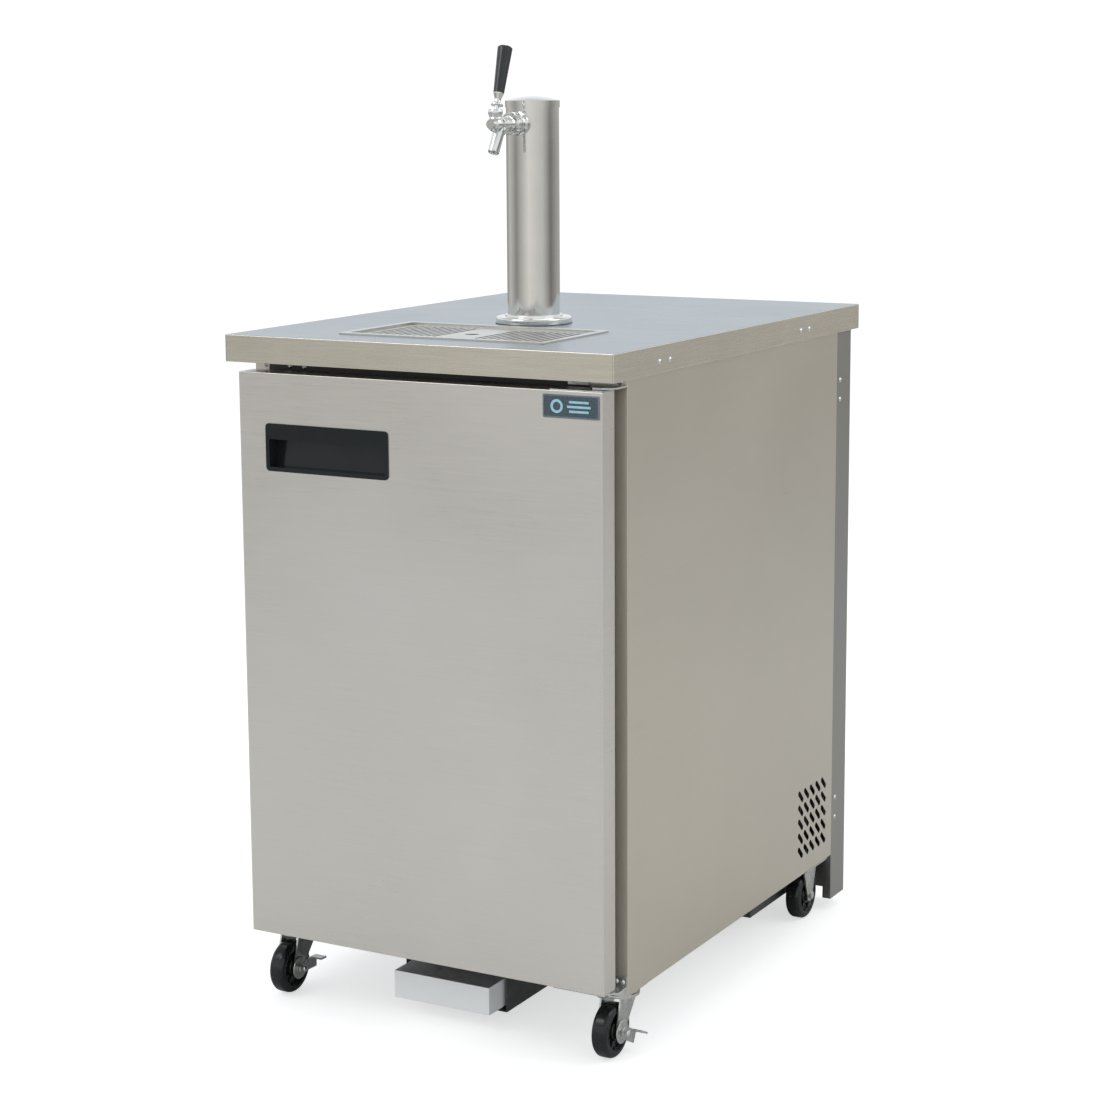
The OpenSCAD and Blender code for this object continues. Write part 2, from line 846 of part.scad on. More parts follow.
module refrigerant_lines() {
    pot_side = tray_z + 70;
    pot_top = tray_z + panel_t + pot_h + seat;
    y1 = coil_y1 - pipe_r;
    side = -evap_x - seat;
    color("peru") {
        route([[pot_x - pot_r - seat, machine_mid, pot_side], [suction_x, machine_mid, pot_side],
               [suction_x, machine_mid, evap_fan_z + 20], [side, machine_mid, evap_fan_z + 20]],
              pipe_r, pipe_bend);
        route([[shroud_plate_x - seat, y1, machine_top - 24], [liquid_x, y1, machine_top - 24],
               [liquid_x, machine_mid, machine_top - 24], [liquid_x, machine_mid, evap_fan_z - 20],
               [side, machine_mid, evap_fan_z - 20]], pipe_r, pipe_bend);
        route([[pot_x + 30, machine_mid, pot_top], [pot_x + 30, machine_mid, machine_top - 8],
               [pot_x + 30, y1, machine_top - 8], [shroud_plate_x - seat, y1, machine_top - 8]],
              pipe_r, pipe_bend);
    }
}

module cord_gland() {
    color("black") translate([gland_x, cover_back, gland_z]) rotate([-90, 0, 0]) difference() {
        union() {
            cylinder(h = 6, r = 12);
            translate([0, 0, -12]) cylinder(h = 13, r = gland_neck_r);
            translate([0, 0, -panel_t - 5 - seat]) cylinder(h = 5, r = 11, $fn = 6);
        }
        translate([0, 0, -13]) cylinder(h = 20, r = gland_bore_r);
    }
}

module drain_shroud() {
    t = panel_t;
    color("dimgray") {
        difference() {
            block([-shroud_x, shroud_front, shroud_z], [shroud_x, shroud_back, floor_z - seat]);
            block([-shroud_x + t, shroud_front - eps, shroud_z + t],
                  [shroud_x - t, shroud_back - t, floor_z]);
        }
        both() block([shroud_x - t, shroud_front, floor_z - seat - t],
                     [shroud_x + 14, shroud_back, floor_z - seat]);
        both() block([pan_w / 2 - 22, shroud_front, shroud_z + t - 0.1],
                     [pan_w / 2 - 14, shroud_back - t - 1, pan_z - seat]);
    }
}

module drain_pan() {
    x = pan_w / 2;
    color("white") difference() {
        block([-x, pan_front, pan_z], [x, pan_front + pan_l, pan_z + pan_h]);
        block([-x + pan_t, pan_front + pan_t, pan_z + pan_t],
              [x - pan_t, pan_front + pan_l - pan_t, pan_z + pan_h + eps]);
    }
}

module drain_tube() {
    color("whitesmoke") difference() {
        route(drain_route, drain_r, drain_bend);
        route(drain_route, drain_r - drain_t, drain_bend);
        translate(drain_route[0] - [0, 0, eps]) cylinder(h = 10, r = drain_r - drain_t);
        translate(drain_route[5] - [0, 0, 5]) cylinder(h = 10, r = drain_r - drain_t);
    }
}

module drip_tray() {
    inset = ledge - tray_t;
    color("silver") difference() {
        union() {
            translate([0, drip_mid, top_z]) linear_extrude(rim_up) rounded(drip_w, drip_d, 6);
            block([-basin_x, basin_y0, ledge_z - tray_t], [basin_x, basin_y1, top_z + eps]);
            block([-basin_x + inset, basin_y0 + inset, basin_z],
                  [basin_x - inset, basin_y1 - inset, ledge_z]);
        }
        block([-basin_x + ledge, basin_y0 + ledge, basin_z + tray_t],
              [basin_x - ledge, basin_y1 - ledge, top_z + rim_up + eps]);
        block([-basin_x + tray_t, basin_y0 + tray_t, ledge_z],
              [basin_x - tray_t, basin_y1 - tray_t, top_z + rim_up + eps]);
        translate([drain_x, outlet_y, basin_z - eps]) cylinder(h = tray_t + 2 * eps, r = drain_r - drain_t);
    }
}

module drip_grille() {
    w = 2 * (basin_x - tray_t - slip);
    d = basin_y1 - basin_y0 - 2 * (tray_t + slip);
    color("lightgray") translate([0, drip_mid, ledge_z + seat]) linear_extrude(grille_t) difference() {
        square([w, d], center = true);
        for (s = [-1, 1], i = [0 : slots_a_side - 1])
            translate([s * (plain_half + 8 + i * slot_pitch), 0]) slot2d(d - 2 * slot_end, slot_w);
        translate([0, -5]) circle(grille_hole_r);
    }
}

module tower_flange() {
    r = flange_d / 2;
    neck = tower_r + 3.5;
    color("silver") translate([0, tower_y, top_z]) rotate_extrude() difference() {
        union() {
            square([r - 3, flange_h - 3]);
            square([r, flange_h - 6]);
            translate([r - 3, flange_h - 6]) circle(3);
            square([neck, flange_h]);
        }
        translate([-1, -5]) square([tower_hole_r + 1, flange_h + 10]);
        translate([-1, column_z - top_z]) square([tower_r + seat + 1, flange_h]);
        translate([-10, -10]) square([r + 20, 10]);
    }
}

module tower_column() {
    color("silver") difference() {
        translate([0, tower_y, column_z]) cylinder(h = rim_z - column_z - cap_band, r = tower_r, $fn = 96);
        translate([0, tower_y, column_z - eps])
            cylinder(h = rim_z - column_z + 2 * eps, r = tower_r - tower_t, $fn = 96);
        forward(0, tower_r + 10, shank_r + seat);
    }
}

module tower_cap() {
    r = tower_r + cap_over;
    dome_r = (r * r + cap_dome * cap_dome) / (2 * cap_dome);
    color("silver") translate([0, tower_y, rim_z]) {
        translate([0, 0, -cap_band + seat]) cylinder(h = cap_band - seat, r = r, $fn = 96);
        intersection() {
            translate([0, 0, cap_dome - dome_r]) sphere(dome_r, $fn = 96);
            cylinder(h = cap_dome, r = r, $fn = 96);
        }
        translate([0, 0, -cap_band - 8]) cylinder(h = 10, r = tower_r - tower_t - seat);
    }
}

module tower_insulation() {
    r = tower_r - tower_t - slip;
    wide_z = top_z + flange_h;
    color("khaki") difference() {
        translate([0, tower_y, 0]) union() {
            translate([0, 0, wide_z]) cylinder(h = rim_z - cap_band - 10 - wide_z, r = r);
            translate([0, 0, keg_roof]) cylinder(h = wide_z + 1 - keg_roof, r = tower_hole_r - 1);
        }
        forward(-line_r - 1, tower_r + 1, shank_r + 4);
        translate([0, tower_y, keg_roof - eps]) cylinder(h = shank_z - keg_roof + eps, r = line_r + seat);
    }
}

module tower_shank() {
    color("silver") difference() {
        union() {
            forward(shank_tail, shank_end, shank_r);
            translate([0, tower_y - 24, shank_z]) rotate([90, 0, 0]) cylinder(h = 9, r = 14, $fn = 6);
        }
        forward(shank_tail - eps, shank_end + eps, seat_r);
        forward(shank_end - 12, shank_end + eps, washer_r + slip);
    }
}

module shank_collar() {
    color("silver") difference() {
        union() {
            forward(20, collar_end - 3, 17);
            forward(collar_end - 3, collar_end, 17, 14.5);
        }
        translate([0, tower_y, shank_z - 40]) cylinder(h = 80, r = tower_r + 0.05, $fn = 96);
        forward(0, collar_end + eps, shank_r + seat);
    }
}

module coupling_nut() {
    color("silver") difference() {
        union() {
            forward(nut_start, nut_start + 2, 14.5, 16);
            forward(nut_start + 2, nut_end - 2, 16);
            forward(nut_end - 2, nut_end, 16, 14);
        }
        forward(nut_start - eps, nut_end + eps, shank_r + seat);
        for (a = [30 : 60 : 330])
            translate([0, tower_y, shank_z]) rotate([0, a, 0])
                translate([16.5, -nut_end + 3, 0]) rotate([90, 0, 0])
                    cylinder(h = 12, r = 2.2, center = true);
    }
}

// Axis of the spout, from the barrel forwards and down
module spout_bar(from, to, r) {
    translate([0, tower_y - spout_start, shank_z]) rotate([180 - spout_lean, 0, 0])
        translate([0, 0, from]) cylinder(h = to - from, r = r);
}

module tap_body() {
    color("silver") difference() {
        union() {
            forward(shank_end + seat, nut_end + 2, shank_r);
            forward(nut_end + 2, nut_end + 5, shank_r, barrel_r);
            forward(nut_end + 5, barrel_end, barrel_r);
            forward(barrel_end, barrel_end + 2, barrel_r, 6.5);
            forward(barrel_end + 2, nose_end, 6.5);
            translate([0, tower_y - nose_at, shank_z]) sphere(11.5);
            translate([0, tower_y - nose_at, shank_z]) cylinder(h = pivot_z - 2 - shank_z, r = boss_r);
            spout_bar(0, spout_l - 1, spout_r);
            spout_bar(spout_l - 8, spout_l, spout_r - 0.6);
            spout_bar(6, 14, spout_r + 1);
        }
        forward(shank_end, shank_end + 4, seat_r);
        forward(shank_end + 4 - 0.1, barrel_end + 1.5, bore_r);
        spout_bar(0, spout_l + eps, spout_r - 2);
        translate([0, tower_y - nose_at, shank_z]) cylinder(h = 40, r = ball_r + 0.4);
    }
}

module tap_bonnet() {
    h = bonnet_top - pivot_z + 2;
    hole_r = ball_r + 0.4;
    color("silver") translate([0, tower_y - nose_at, pivot_z - 2 + seat]) difference() {
        union() {
            cylinder(h = 3, r = bonnet_r - 1.2);
            translate([0, 0, 3]) cylinder(h = h - 5, r = bonnet_r);
            translate([0, 0, h - 2]) cylinder(h = 2 - seat, r1 = bonnet_r, r2 = bonnet_r - 1);
        }
        translate([0, 0, -eps]) cylinder(h = h / 2 + 2 * eps, r = hole_r);
        translate([0, 0, h / 2 - eps]) cylinder(h = h / 2 + 2 * eps, r1 = hole_r, r2 = bonnet_r - 1.1);
    }
}

// The lever's own axis, leaning back from the pivot
module on_lever() {
    translate([0, tower_y - nose_at, pivot_z]) rotate([-handle_lean, 0, 0]) children();
}

module tap_lever() {
    color("silver") on_lever() {
        sphere(ball_r);
        translate([0, 0, -lever_arm]) cylinder(h = lever_arm, r = 2);
        cylinder(h = collar_at + 1, r = stem_r);
        translate([0, 0, collar_at]) cylinder(h = 2, r = 8.8);
        translate([0, 0, collar_at + 2]) cylinder(h = 3, r1 = 8.8, r2 = 5);
        translate([0, 0, ferrule_at]) cylinder(h = 4, r = 4.4);
        translate([0, 0, ferrule_at + 4])
            cylinder(h = handle_at - ferrule_at - 4 - 0.1, r1 = 4.4, r2 = 7.6);
        translate([0, 0, handle_at - 1]) cylinder(h = 16, r = 4);
    }
}

module tap_handle() {
    color("black") on_lever() translate([0, 0, handle_at]) difference() {
        union() {
            cylinder(h = handle_l - 2, r1 = 7.6, r2 = handle_r);
            translate([0, 0, handle_l - 2]) cylinder(h = 2, r1 = handle_r, r2 = handle_r - 2);
        }
        translate([0, 0, -eps]) cylinder(h = 17, r = 4 + seat);
    }
}

module tap_valve() {
    color("gray") difference() {
        union() {
            forward(shank_end - 3.5, shank_end - 0.5, washer_r);
            forward(shank_end - 1, nose_at - 8, valve_r);
            forward(nose_at - 8, barrel_end + 0.8, valve_head);
        }
        translate([0, tower_y - nose_at - lever_arm * sin(handle_lean), shank_z])
            block([-2.6, -3.6, -6], [2.6, 3.6, 6]);
    }
}

// Beer line up the tower to the shank, with the nut that takes the keg's coupler
module beer_line() {
    end = [0, tower_y, keg_roof - 26];
    corner = [0, tower_y, shank_z];
    tip = [0, tower_y - shank_tail + seat, shank_z];
    color("whitesmoke") difference() {
        union() {
            route([end, corner, tip], line_r, line_bend);
            translate([0, tower_y, keg_roof - 44]) cylinder(h = 20, r = 15, $fn = 6);
        }
        route([end - [0, 0, 20], corner, tip - [0, eps, 0]], line_bore, line_bend);
        translate([0, tower_y, keg_roof - 45]) cylinder(h = 16, r = 10.5);
    }
}

// Cut through the door's pieces for the pull's cup
module pull_hole(clear) {
    w = pull_w - 2 * pull_rim + 2 * clear;
    h = pull_h - 2 * pull_rim + 2 * clear;
    along(door_front - eps, door_front + pull_depth + clear)
        translate([pull_x, pull_z]) rounded(w, h, 5);
}

module hinge_holes(r) {
    for (z = [door_top - bush_h - seat, door_bottom - eps])
        translate([hinge_x, hinge_y, z]) cylinder(h = bush_h + seat + eps, r = r);
}

module door_skin() {
    t = door_skin_t;
    color("silver") difference() {
        block([-door_x, door_front, door_bottom], [door_x, door_back, door_top]);
        block([-door_x + t, door_front + t, door_bottom + t], [door_x - t, door_back + eps, door_top - t]);
        pull_hole(slip);
        hinge_holes(bush_r + seat);
    }
}

module door_insulation() {
    i = door_skin_t + seat;
    color("khaki") difference() {
        block([-door_x + i, door_front + i, door_bottom + i],
              [door_x - i, door_back - door_liner_t - seat, door_top - i]);
        pull_hole(slip);
        hinge_holes(bush_r + seat);
    }
}

module door_liner() {
    i = door_skin_t + seat;
    color("white") difference() {
        block([-door_x + i, door_back - door_liner_t, door_bottom + i],
              [door_x - i, door_back, door_top - i]);
        hinge_holes(bush_r + seat);
    }
}

module door_gasket() {
    front = door_back;
    back = face_y - frame_proud - 0.3;
    color("dimgray") difference() {
        union() {
            block([-gasket_x, front, gasket_bottom], [gasket_x, front + 4, gasket_top]);
            block([-gasket_x + 2, front + 4, gasket_bottom + 2], [gasket_x - 2, front + 7, gasket_top - 2]);
            block([-gasket_x, front + 7, gasket_bottom], [gasket_x, back, gasket_top]);
        }
        block([-gasket_x + gasket_w, front - eps, gasket_bottom + gasket_w],
              [gasket_x - gasket_w, back + eps, gasket_top - gasket_w]);
    }
}

// Recessed pull: rim, hood over the upper third, cup with a sloping back
module door_handle() {
    y = door_front;
    z0 = -pull_h / 2 + pull_rim + 2;
    z1 = pull_h / 2 - pull_rim - 2;
    hood = z1 - 16;
    half = pull_w / 2 - pull_rim - 2;
    color("black") difference() {
        union() {
            along(y - 1.6, y) translate([pull_x, pull_z]) rounded(pull_w, pull_h, 6);
            along(y - 0.1, y + pull_depth)
                translate([pull_x, pull_z]) rounded(pull_w - 2 * pull_rim, pull_h - 2 * pull_rim, 5);
        }
        translate([0, 0, pull_z]) across(pull_x - half, pull_x + half) polygon([
            [y - 3, z0], [y + pull_depth - 9, z0], [y + pull_depth - 2, z1],
            [y + 4, z1], [y + 4, hood], [y - 3, hood]
        ]);
    }
}

// Badge plate with a raised border and a plain raised ring and bars
module door_badge() {
    color("slategray") difference() {
        along(door_front - badge_t, door_front)
            translate([badge_x, badge_z]) rounded(badge_w, badge_h, 2);
        along(door_front - badge_t - eps, door_front - badge_t / 2) difference() {
            translate([badge_x, badge_z]) rounded(badge_w - 4, badge_h - 4, 1.5);
            translate([badge_x - badge_w / 4, badge_z]) difference() {
                circle(badge_h / 3.4);
                circle(badge_h / 5.5);
            }
            for (k = [-1 : 1])
                translate([badge_x + badge_w / 7, badge_z + k * badge_h / 5])
                    square([badge_w / 2.4 - 6 * abs(k), badge_h / 10], center = true);
        }
    }
}

// Plates on the door's top and underside, and the bushes that the hinge pins turn in
module door_hinge_fittings() {
    x0 = door_x - fitting_w;
    y0 = door_front + 1;
    y1 = door_back - 1;
    color("silver") difference() {
        union() {
            block([x0, y0, door_top], [door_x, y1, door_top + fitting_t]);
            block([x0, y0, door_bottom - fitting_t], [door_x, y1, door_bottom]);
            translate([hinge_x, hinge_y, door_top - bush_h]) cylinder(h = bush_h + 0.5, r = bush_r);
            translate([hinge_x, hinge_y, door_bottom - 0.5]) cylinder(h = bush_h + 0.5, r = bush_r);
        }
        translate([hinge_x, hinge_y, door_bottom - fitting_t - eps])
            cylinder(h = door_top - door_bottom + 2 * fitting_t + 2 * eps, r = pin_r + running);
    }
}

// Bracket arm seen from above: a tapering plate that carries the pin
module hinge_arm() {
    polygon([[top_flange_x + 30, face_y], [body_x - 1, face_y], [body_x - 1, hinge_y + 4],
             [hinge_x + 11, arm_front + 4], [hinge_x + 7, arm_front], [hinge_x - 7, arm_front],
             [hinge_x - 12, arm_front + 5]]);
}

module hinge_brackets() {
    t = top_flange_t;
    color("lightgray") difference() {
        union() {
            translate([0, 0, top_arm_z]) linear_extrude(arm_t) hinge_arm();
            block([top_flange_x, face_y - t, top_arm_z], [body_x - 1, face_y, top_under - slip]);
            translate([hinge_x, hinge_y, door_top - bush_h + 1])
                cylinder(h = top_arm_z + arm_t - door_top + bush_h - 1, r = pin_r);
            translate([0, 0, bottom_arm_z]) linear_extrude(arm_t) hinge_arm();
            block([body_x - panel_return + 2, face_y - t, floor_z + 1],
                  [body_x - 1, face_y, floor_z + 28]);
            translate([hinge_x, hinge_y, bottom_arm_z - 5]) cylinder(h = 5, r1 = 7, r2 = 10.5);
            translate([hinge_x, hinge_y, bottom_arm_z])
                cylinder(h = door_bottom - bottom_arm_z + bush_h - 1, r = pin_r);
        }
        face_screw_holes();
    }
}

// Point where the line from p touches a circle of radius r about c, on the side given by s
function touch(p, c, r, s) =
    let (d = p - c, l = norm(d), a = atan2(d.y, d.x) + s * acos(r / l))
    c + r * [cos(a), sin(a)];

// Fork leg seen along X: a wide top that narrows to a round end at the axle
module leg2d(mid, half, top, axle, end_r) {
    left = touch([mid - half, top], axle, end_r, 1);
    right = touch([mid + half, top], axle, end_r, -1);
    polygon([[mid - half, top], left, right, [mid + half, top]]);
    polygon([left, axle, right]);
    translate(axle) circle(end_r);
}

// Two legs of a castor, either side of the wheel at x = 0
module legs(mid, half, top, axle, end_r) {
    for (s = [leg_x, -leg_x - leg_t])
        across(s, s + leg_t) difference() {
            leg2d(mid, half, top, axle, end_r);
            translate(axle) circle(axle_r + 0.05);
        }
}

// One swivel fork on the floor's x = 0, with its axle and the axle's head outside the brake
module caster_fork() {
    end = leg_x + leg_t;
    brake_gap = brake_t + 2 * slip;
    difference() {
        union() {
            translate([0, swivel_y, crown_under]) cylinder(h = crown_t, r = crown_r);
            legs(swivel_y, 26, crown_under + 1, [front_axle_y, wheel_r], 11);
        }
        translate([0, swivel_y, crown_under - eps]) cylinder(h = crown_t + 2 * eps, r = king_r + running);
    }
    translate([0, front_axle_y, wheel_r]) rotate([0, 90, 0]) {
        translate([0, 0, -end - 3]) cylinder(h = 2 * end + brake_gap + 4, r = axle_r);
        translate([0, 0, end + brake_gap]) cylinder(h = bolt_head, r = 6.5, $fn = 6);
        translate([0, 0, -end - 4]) cylinder(h = 4, r = 6.5, $fn = 6);
    }
}

module caster_fork_right() {
    color("lightgray") translate([caster_x, 0, 0]) caster_fork();
}

module caster_fork_left() {
    color("lightgray") translate([-caster_x, 0, 0]) caster_fork();
}

// Plates of the swivel castors, each with its race and kingpin
module caster_plates() {
    z = floor_z - seat;
    color("lightgray") both() translate([caster_x, swivel_y, 0]) {
        block([-46, -31, z - plate_t], [27, 31, z]);
        translate([0, 0, z - plate_t - race_t]) cylinder(h = race_t, r = crown_r - 2);
        translate([0, 0, crown_under - 3]) cylinder(h = z - crown_under, r = king_r);
        translate([0, 0, crown_under - 3]) cylinder(h = 2.5, r = king_r + 3, $fn = 6);
    }
}

module rear_caster_forks() {
    z = floor_z - seat - panel_t - seat;
    end = leg_x + leg_t;
    color("lightgray") both() translate([caster_x, 0, 0]) {
        block([-end, rear_axle_y - 40, z - plate_t], [27, rear_axle_y + 40, z]);
        legs(rear_axle_y, 25, z - plate_t + 0.5, [rear_axle_y, wheel_r], 10);
        translate([0, rear_axle_y, wheel_r]) rotate([0, 90, 0]) {
            translate([0, 0, -end - 3]) cylinder(h = 2 * end + 6, r = axle_r);
            translate([0, 0, end]) cylinder(h = bolt_head, r = 6.5, $fn = 6);
            translate([0, 0, -end - 4]) cylinder(h = 4, r = 6.5, $fn = 6);
        }
    }
}

// Wheel with recessed sides and a bored hub, its axle along X
module wheel(x, y) {
    half = wheel_w / 2;
    rim_r = wheel_r - 11;
    color("black") translate([x, y, wheel_r]) rotate([0, 90, 0]) rotate_extrude() difference() {
        union() {
            translate([rim_r, tyre_round - half]) square([wheel_r - rim_r, wheel_w - 2 * tyre_round]);
            translate([rim_r, -half]) square([wheel_r - rim_r - tyre_round, wheel_w]);
            for (s = [-1, 1])
                translate([wheel_r - tyre_round, s * (half - tyre_round)]) circle(tyre_round);
            translate([axle_r + running, -half / 2]) square([rim_r, half]);
            translate([axle_r + running, -half]) square([7, wheel_w]);
        }
        translate([-wheel_r, -wheel_w]) square([wheel_r, 2 * wheel_w]);
    }
}

module wheel_front_right() {
    wheel(caster_x, front_axle_y);
}

module wheel_front_left() {
    wheel(-caster_x, front_axle_y);
}

module wheel_rear_right() {
    wheel(caster_x, rear_axle_y);
}

module wheel_rear_left() {
    wheel(-caster_x, rear_axle_y);
}

// Brake cam plate and pedal on the axle, its pedal turned down by an angle
module brake(x, turn) {
    color("lightgray") translate([x + brake_at, front_axle_y, wheel_r]) rotate([-turn, 0, 0]) difference() {
        union() {
            rotate([0, 90, 0]) cylinder(h = brake_t, r = brake_r);
            block([0, 0, -9], [brake_t, brake_reach, 9]);
            block([0, brake_reach - 14, 6.5], [pedal_w, brake_reach, 9]);
        }
        translate([-eps, 0, 0]) rotate([0, 90, 0]) cylinder(h = brake_t + 2 * eps, r = axle_r + running);
    }
}

module brake_right() {
    brake(caster_x, brake_down);
}

module brake_left() {
    brake(-caster_x, brake_up);
}

worktop();
worktop_core();
panel_screws();
side_panel_right();
side_panel_left();
rear_cover();
cabinet_shell();
front_frame();
cabinet_insulation();
inner_liner();
machine_tray();
compressor();
condenser();
condenser_shroud();
fan_motors();
condenser_fan();
evaporator();
evaporator_cover();
evaporator_fan();
thermostat();
thermostat_knob();
refrigerant_lines();
cord_gland();
drain_shroud();
drain_pan();
drain_tube();
drip_tray();
drip_grille();
tower_flange();
tower_column();
tower_cap();
tower_insulation();
tower_shank();
shank_collar();
coupling_nut();
tap_body();
tap_bonnet();
tap_lever();
tap_handle();
tap_valve();
beer_line();
door_skin();
door_insulation();
door_liner();
door_gasket();
door_handle();
door_badge();
door_hinge_fittings();
hinge_brackets();
caster_plates();
caster_fork_right();
caster_fork_left();
rear_caster_forks();
wheel_front_right();
wheel_front_left();
wheel_rear_right();
wheel_rear_left();
brake_right();
brake_left();
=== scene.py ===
"""Looks of the one-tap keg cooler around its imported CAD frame. Lengths given in millimetres are scaled by MM."""

import json
import math

import bmesh
import bpy
from mathutils import Matrix, Vector

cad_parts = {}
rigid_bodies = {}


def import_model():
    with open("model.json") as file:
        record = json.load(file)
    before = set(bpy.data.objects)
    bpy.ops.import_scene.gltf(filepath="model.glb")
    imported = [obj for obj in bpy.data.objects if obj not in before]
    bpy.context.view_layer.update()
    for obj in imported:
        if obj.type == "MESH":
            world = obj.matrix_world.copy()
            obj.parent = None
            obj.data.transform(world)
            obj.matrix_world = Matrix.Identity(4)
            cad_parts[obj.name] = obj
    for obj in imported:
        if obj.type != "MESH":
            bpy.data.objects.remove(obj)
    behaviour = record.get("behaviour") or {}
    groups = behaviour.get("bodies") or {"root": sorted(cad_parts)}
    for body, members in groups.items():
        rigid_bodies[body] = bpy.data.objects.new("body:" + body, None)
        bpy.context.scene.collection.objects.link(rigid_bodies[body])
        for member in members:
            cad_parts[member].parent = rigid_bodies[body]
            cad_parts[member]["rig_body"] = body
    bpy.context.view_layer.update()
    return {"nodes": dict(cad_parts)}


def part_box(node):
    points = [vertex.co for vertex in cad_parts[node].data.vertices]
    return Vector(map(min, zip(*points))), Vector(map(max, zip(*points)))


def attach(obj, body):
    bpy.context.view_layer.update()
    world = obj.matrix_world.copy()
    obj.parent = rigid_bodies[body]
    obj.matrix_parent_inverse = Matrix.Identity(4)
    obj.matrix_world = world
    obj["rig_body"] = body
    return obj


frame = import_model()

MM = 0.001
NODES = frame["nodes"]


def box_mm(node):
    """Lowest and highest corner of a CAD node, in millimetres."""
    lo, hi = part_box(node)
    return [v / MM for v in lo], [v / MM for v in hi]


# ---------------------------------------------------------------- materials


class Look:
    """A node material built around one Principled shader."""

    def __init__(self, name, **sockets):
        self.mat = bpy.data.materials.new(name)
        self.mat.use_nodes = True
        self.tree = self.mat.node_tree
        self.bsdf = self.tree.nodes["Principled BSDF"]
        for key, value in sockets.items():
            self.bsdf.inputs[key.replace("_", " ")].default_value = value
        self.height = None

    def new(self, kind, **values):
        node = self.tree.nodes.new(kind)
        for key, value in values.items():
            setattr(node, key, value)
        return node

    def link(self, a, b):
        self.tree.links.new(a, b)

    def coords(self, scale=(1, 1, 1)):
        """The surface's own coordinates in metres, scaled."""
        tex = self.new("ShaderNodeTexCoord")
        mapping = self.new("ShaderNodeMapping")
        mapping.inputs["Scale"].default_value = scale
        self.link(tex.outputs["Object"], mapping.inputs["Vector"])
        return mapping.outputs["Vector"]

    def noise(self, scale, detail=2.0, rough=0.5, distort=0.0):
        scale = scale if isinstance(scale, tuple) else (scale,) * 3
        node = self.new("ShaderNodeTexNoise")
        node.inputs["Scale"].default_value = 1.0
        node.inputs["Detail"].default_value = detail
        node.inputs["Roughness"].default_value = rough
        node.inputs["Distortion"].default_value = distort
        self.link(self.coords(scale), node.inputs["Vector"])
        return node.outputs["Fac"]

    def ramp(self, fac, *stops):
        node = self.new("ShaderNodeValToRGB")
        cr = node.color_ramp
        while len(cr.elements) < len(stops):
            cr.elements.new(0.5)
        for element, (pos, colour) in zip(cr.elements, stops):
            element.position = pos
            element.color = colour if len(colour) == 4 else (*colour, 1)
        self.link(fac, node.inputs["Fac"])
        return node.outputs["Color"]

    def span(self, fac, low, high, at=(0.3, 0.7)):
        node = self.new("ShaderNodeMapRange")
        for key, value in zip(("From Min", "From Max", "To Min", "To Max"), (*at, low, high)):
            node.inputs[key].default_value = value
        self.link(fac, node.inputs["Value"])
        return node.outputs["Result"]

    def maths(self, op, a, b):
        node = self.new("ShaderNodeMath", operation=op)
        for i, v in enumerate((a, b)):
            if isinstance(v, (int, float)):
                node.inputs[i].default_value = v
            else:
                self.link(v, node.inputs[i])
        return node.outputs["Value"]

    def mix(self, fac, a, b, blend="MIX"):
        node = self.new("ShaderNodeMix", data_type="RGBA", blend_type=blend)
        for i, v in ((0, fac), (6, a), (7, b)):
            if isinstance(v, (int, float)):
                node.inputs[i].default_value = v
            elif isinstance(v, tuple):
                node.inputs[i].default_value = (*v, 1) if len(v) == 3 else v
            else:
                self.link(v, node.inputs[i])
        return node.outputs[2]

    def colour(self, out):
        self.link(out, self.bsdf.inputs["Base Color"])

    def rough(self, out):
        self.link(out, self.bsdf.inputs["Roughness"])

    def bump(self, out, depth_mm, strength=1.0):
        node = self.new("ShaderNodeBump")
        node.inputs["Strength"].default_value = strength
        node.inputs["Distance"].default_value = depth_mm * MM
        self.link(out, node.inputs["Height"])
        if self.height is not None:
            self.link(self.height, node.inputs["Normal"])
        self.height = node.outputs["Normal"]
        self.link(self.height, self.bsdf.inputs["Normal"])

    def edge_wear(self):
        """0 on flats and 1 along convex edges."""
        geo = self.new("ShaderNodeNewGeometry")
        return self.span(geo.outputs["Pointiness"], 0.0, 1.0, (0.52, 0.6))


def tint(colour, k):
    return tuple(min(1.0, c * k) for c in colour)


GRAIN_CONTRAST = 0.035


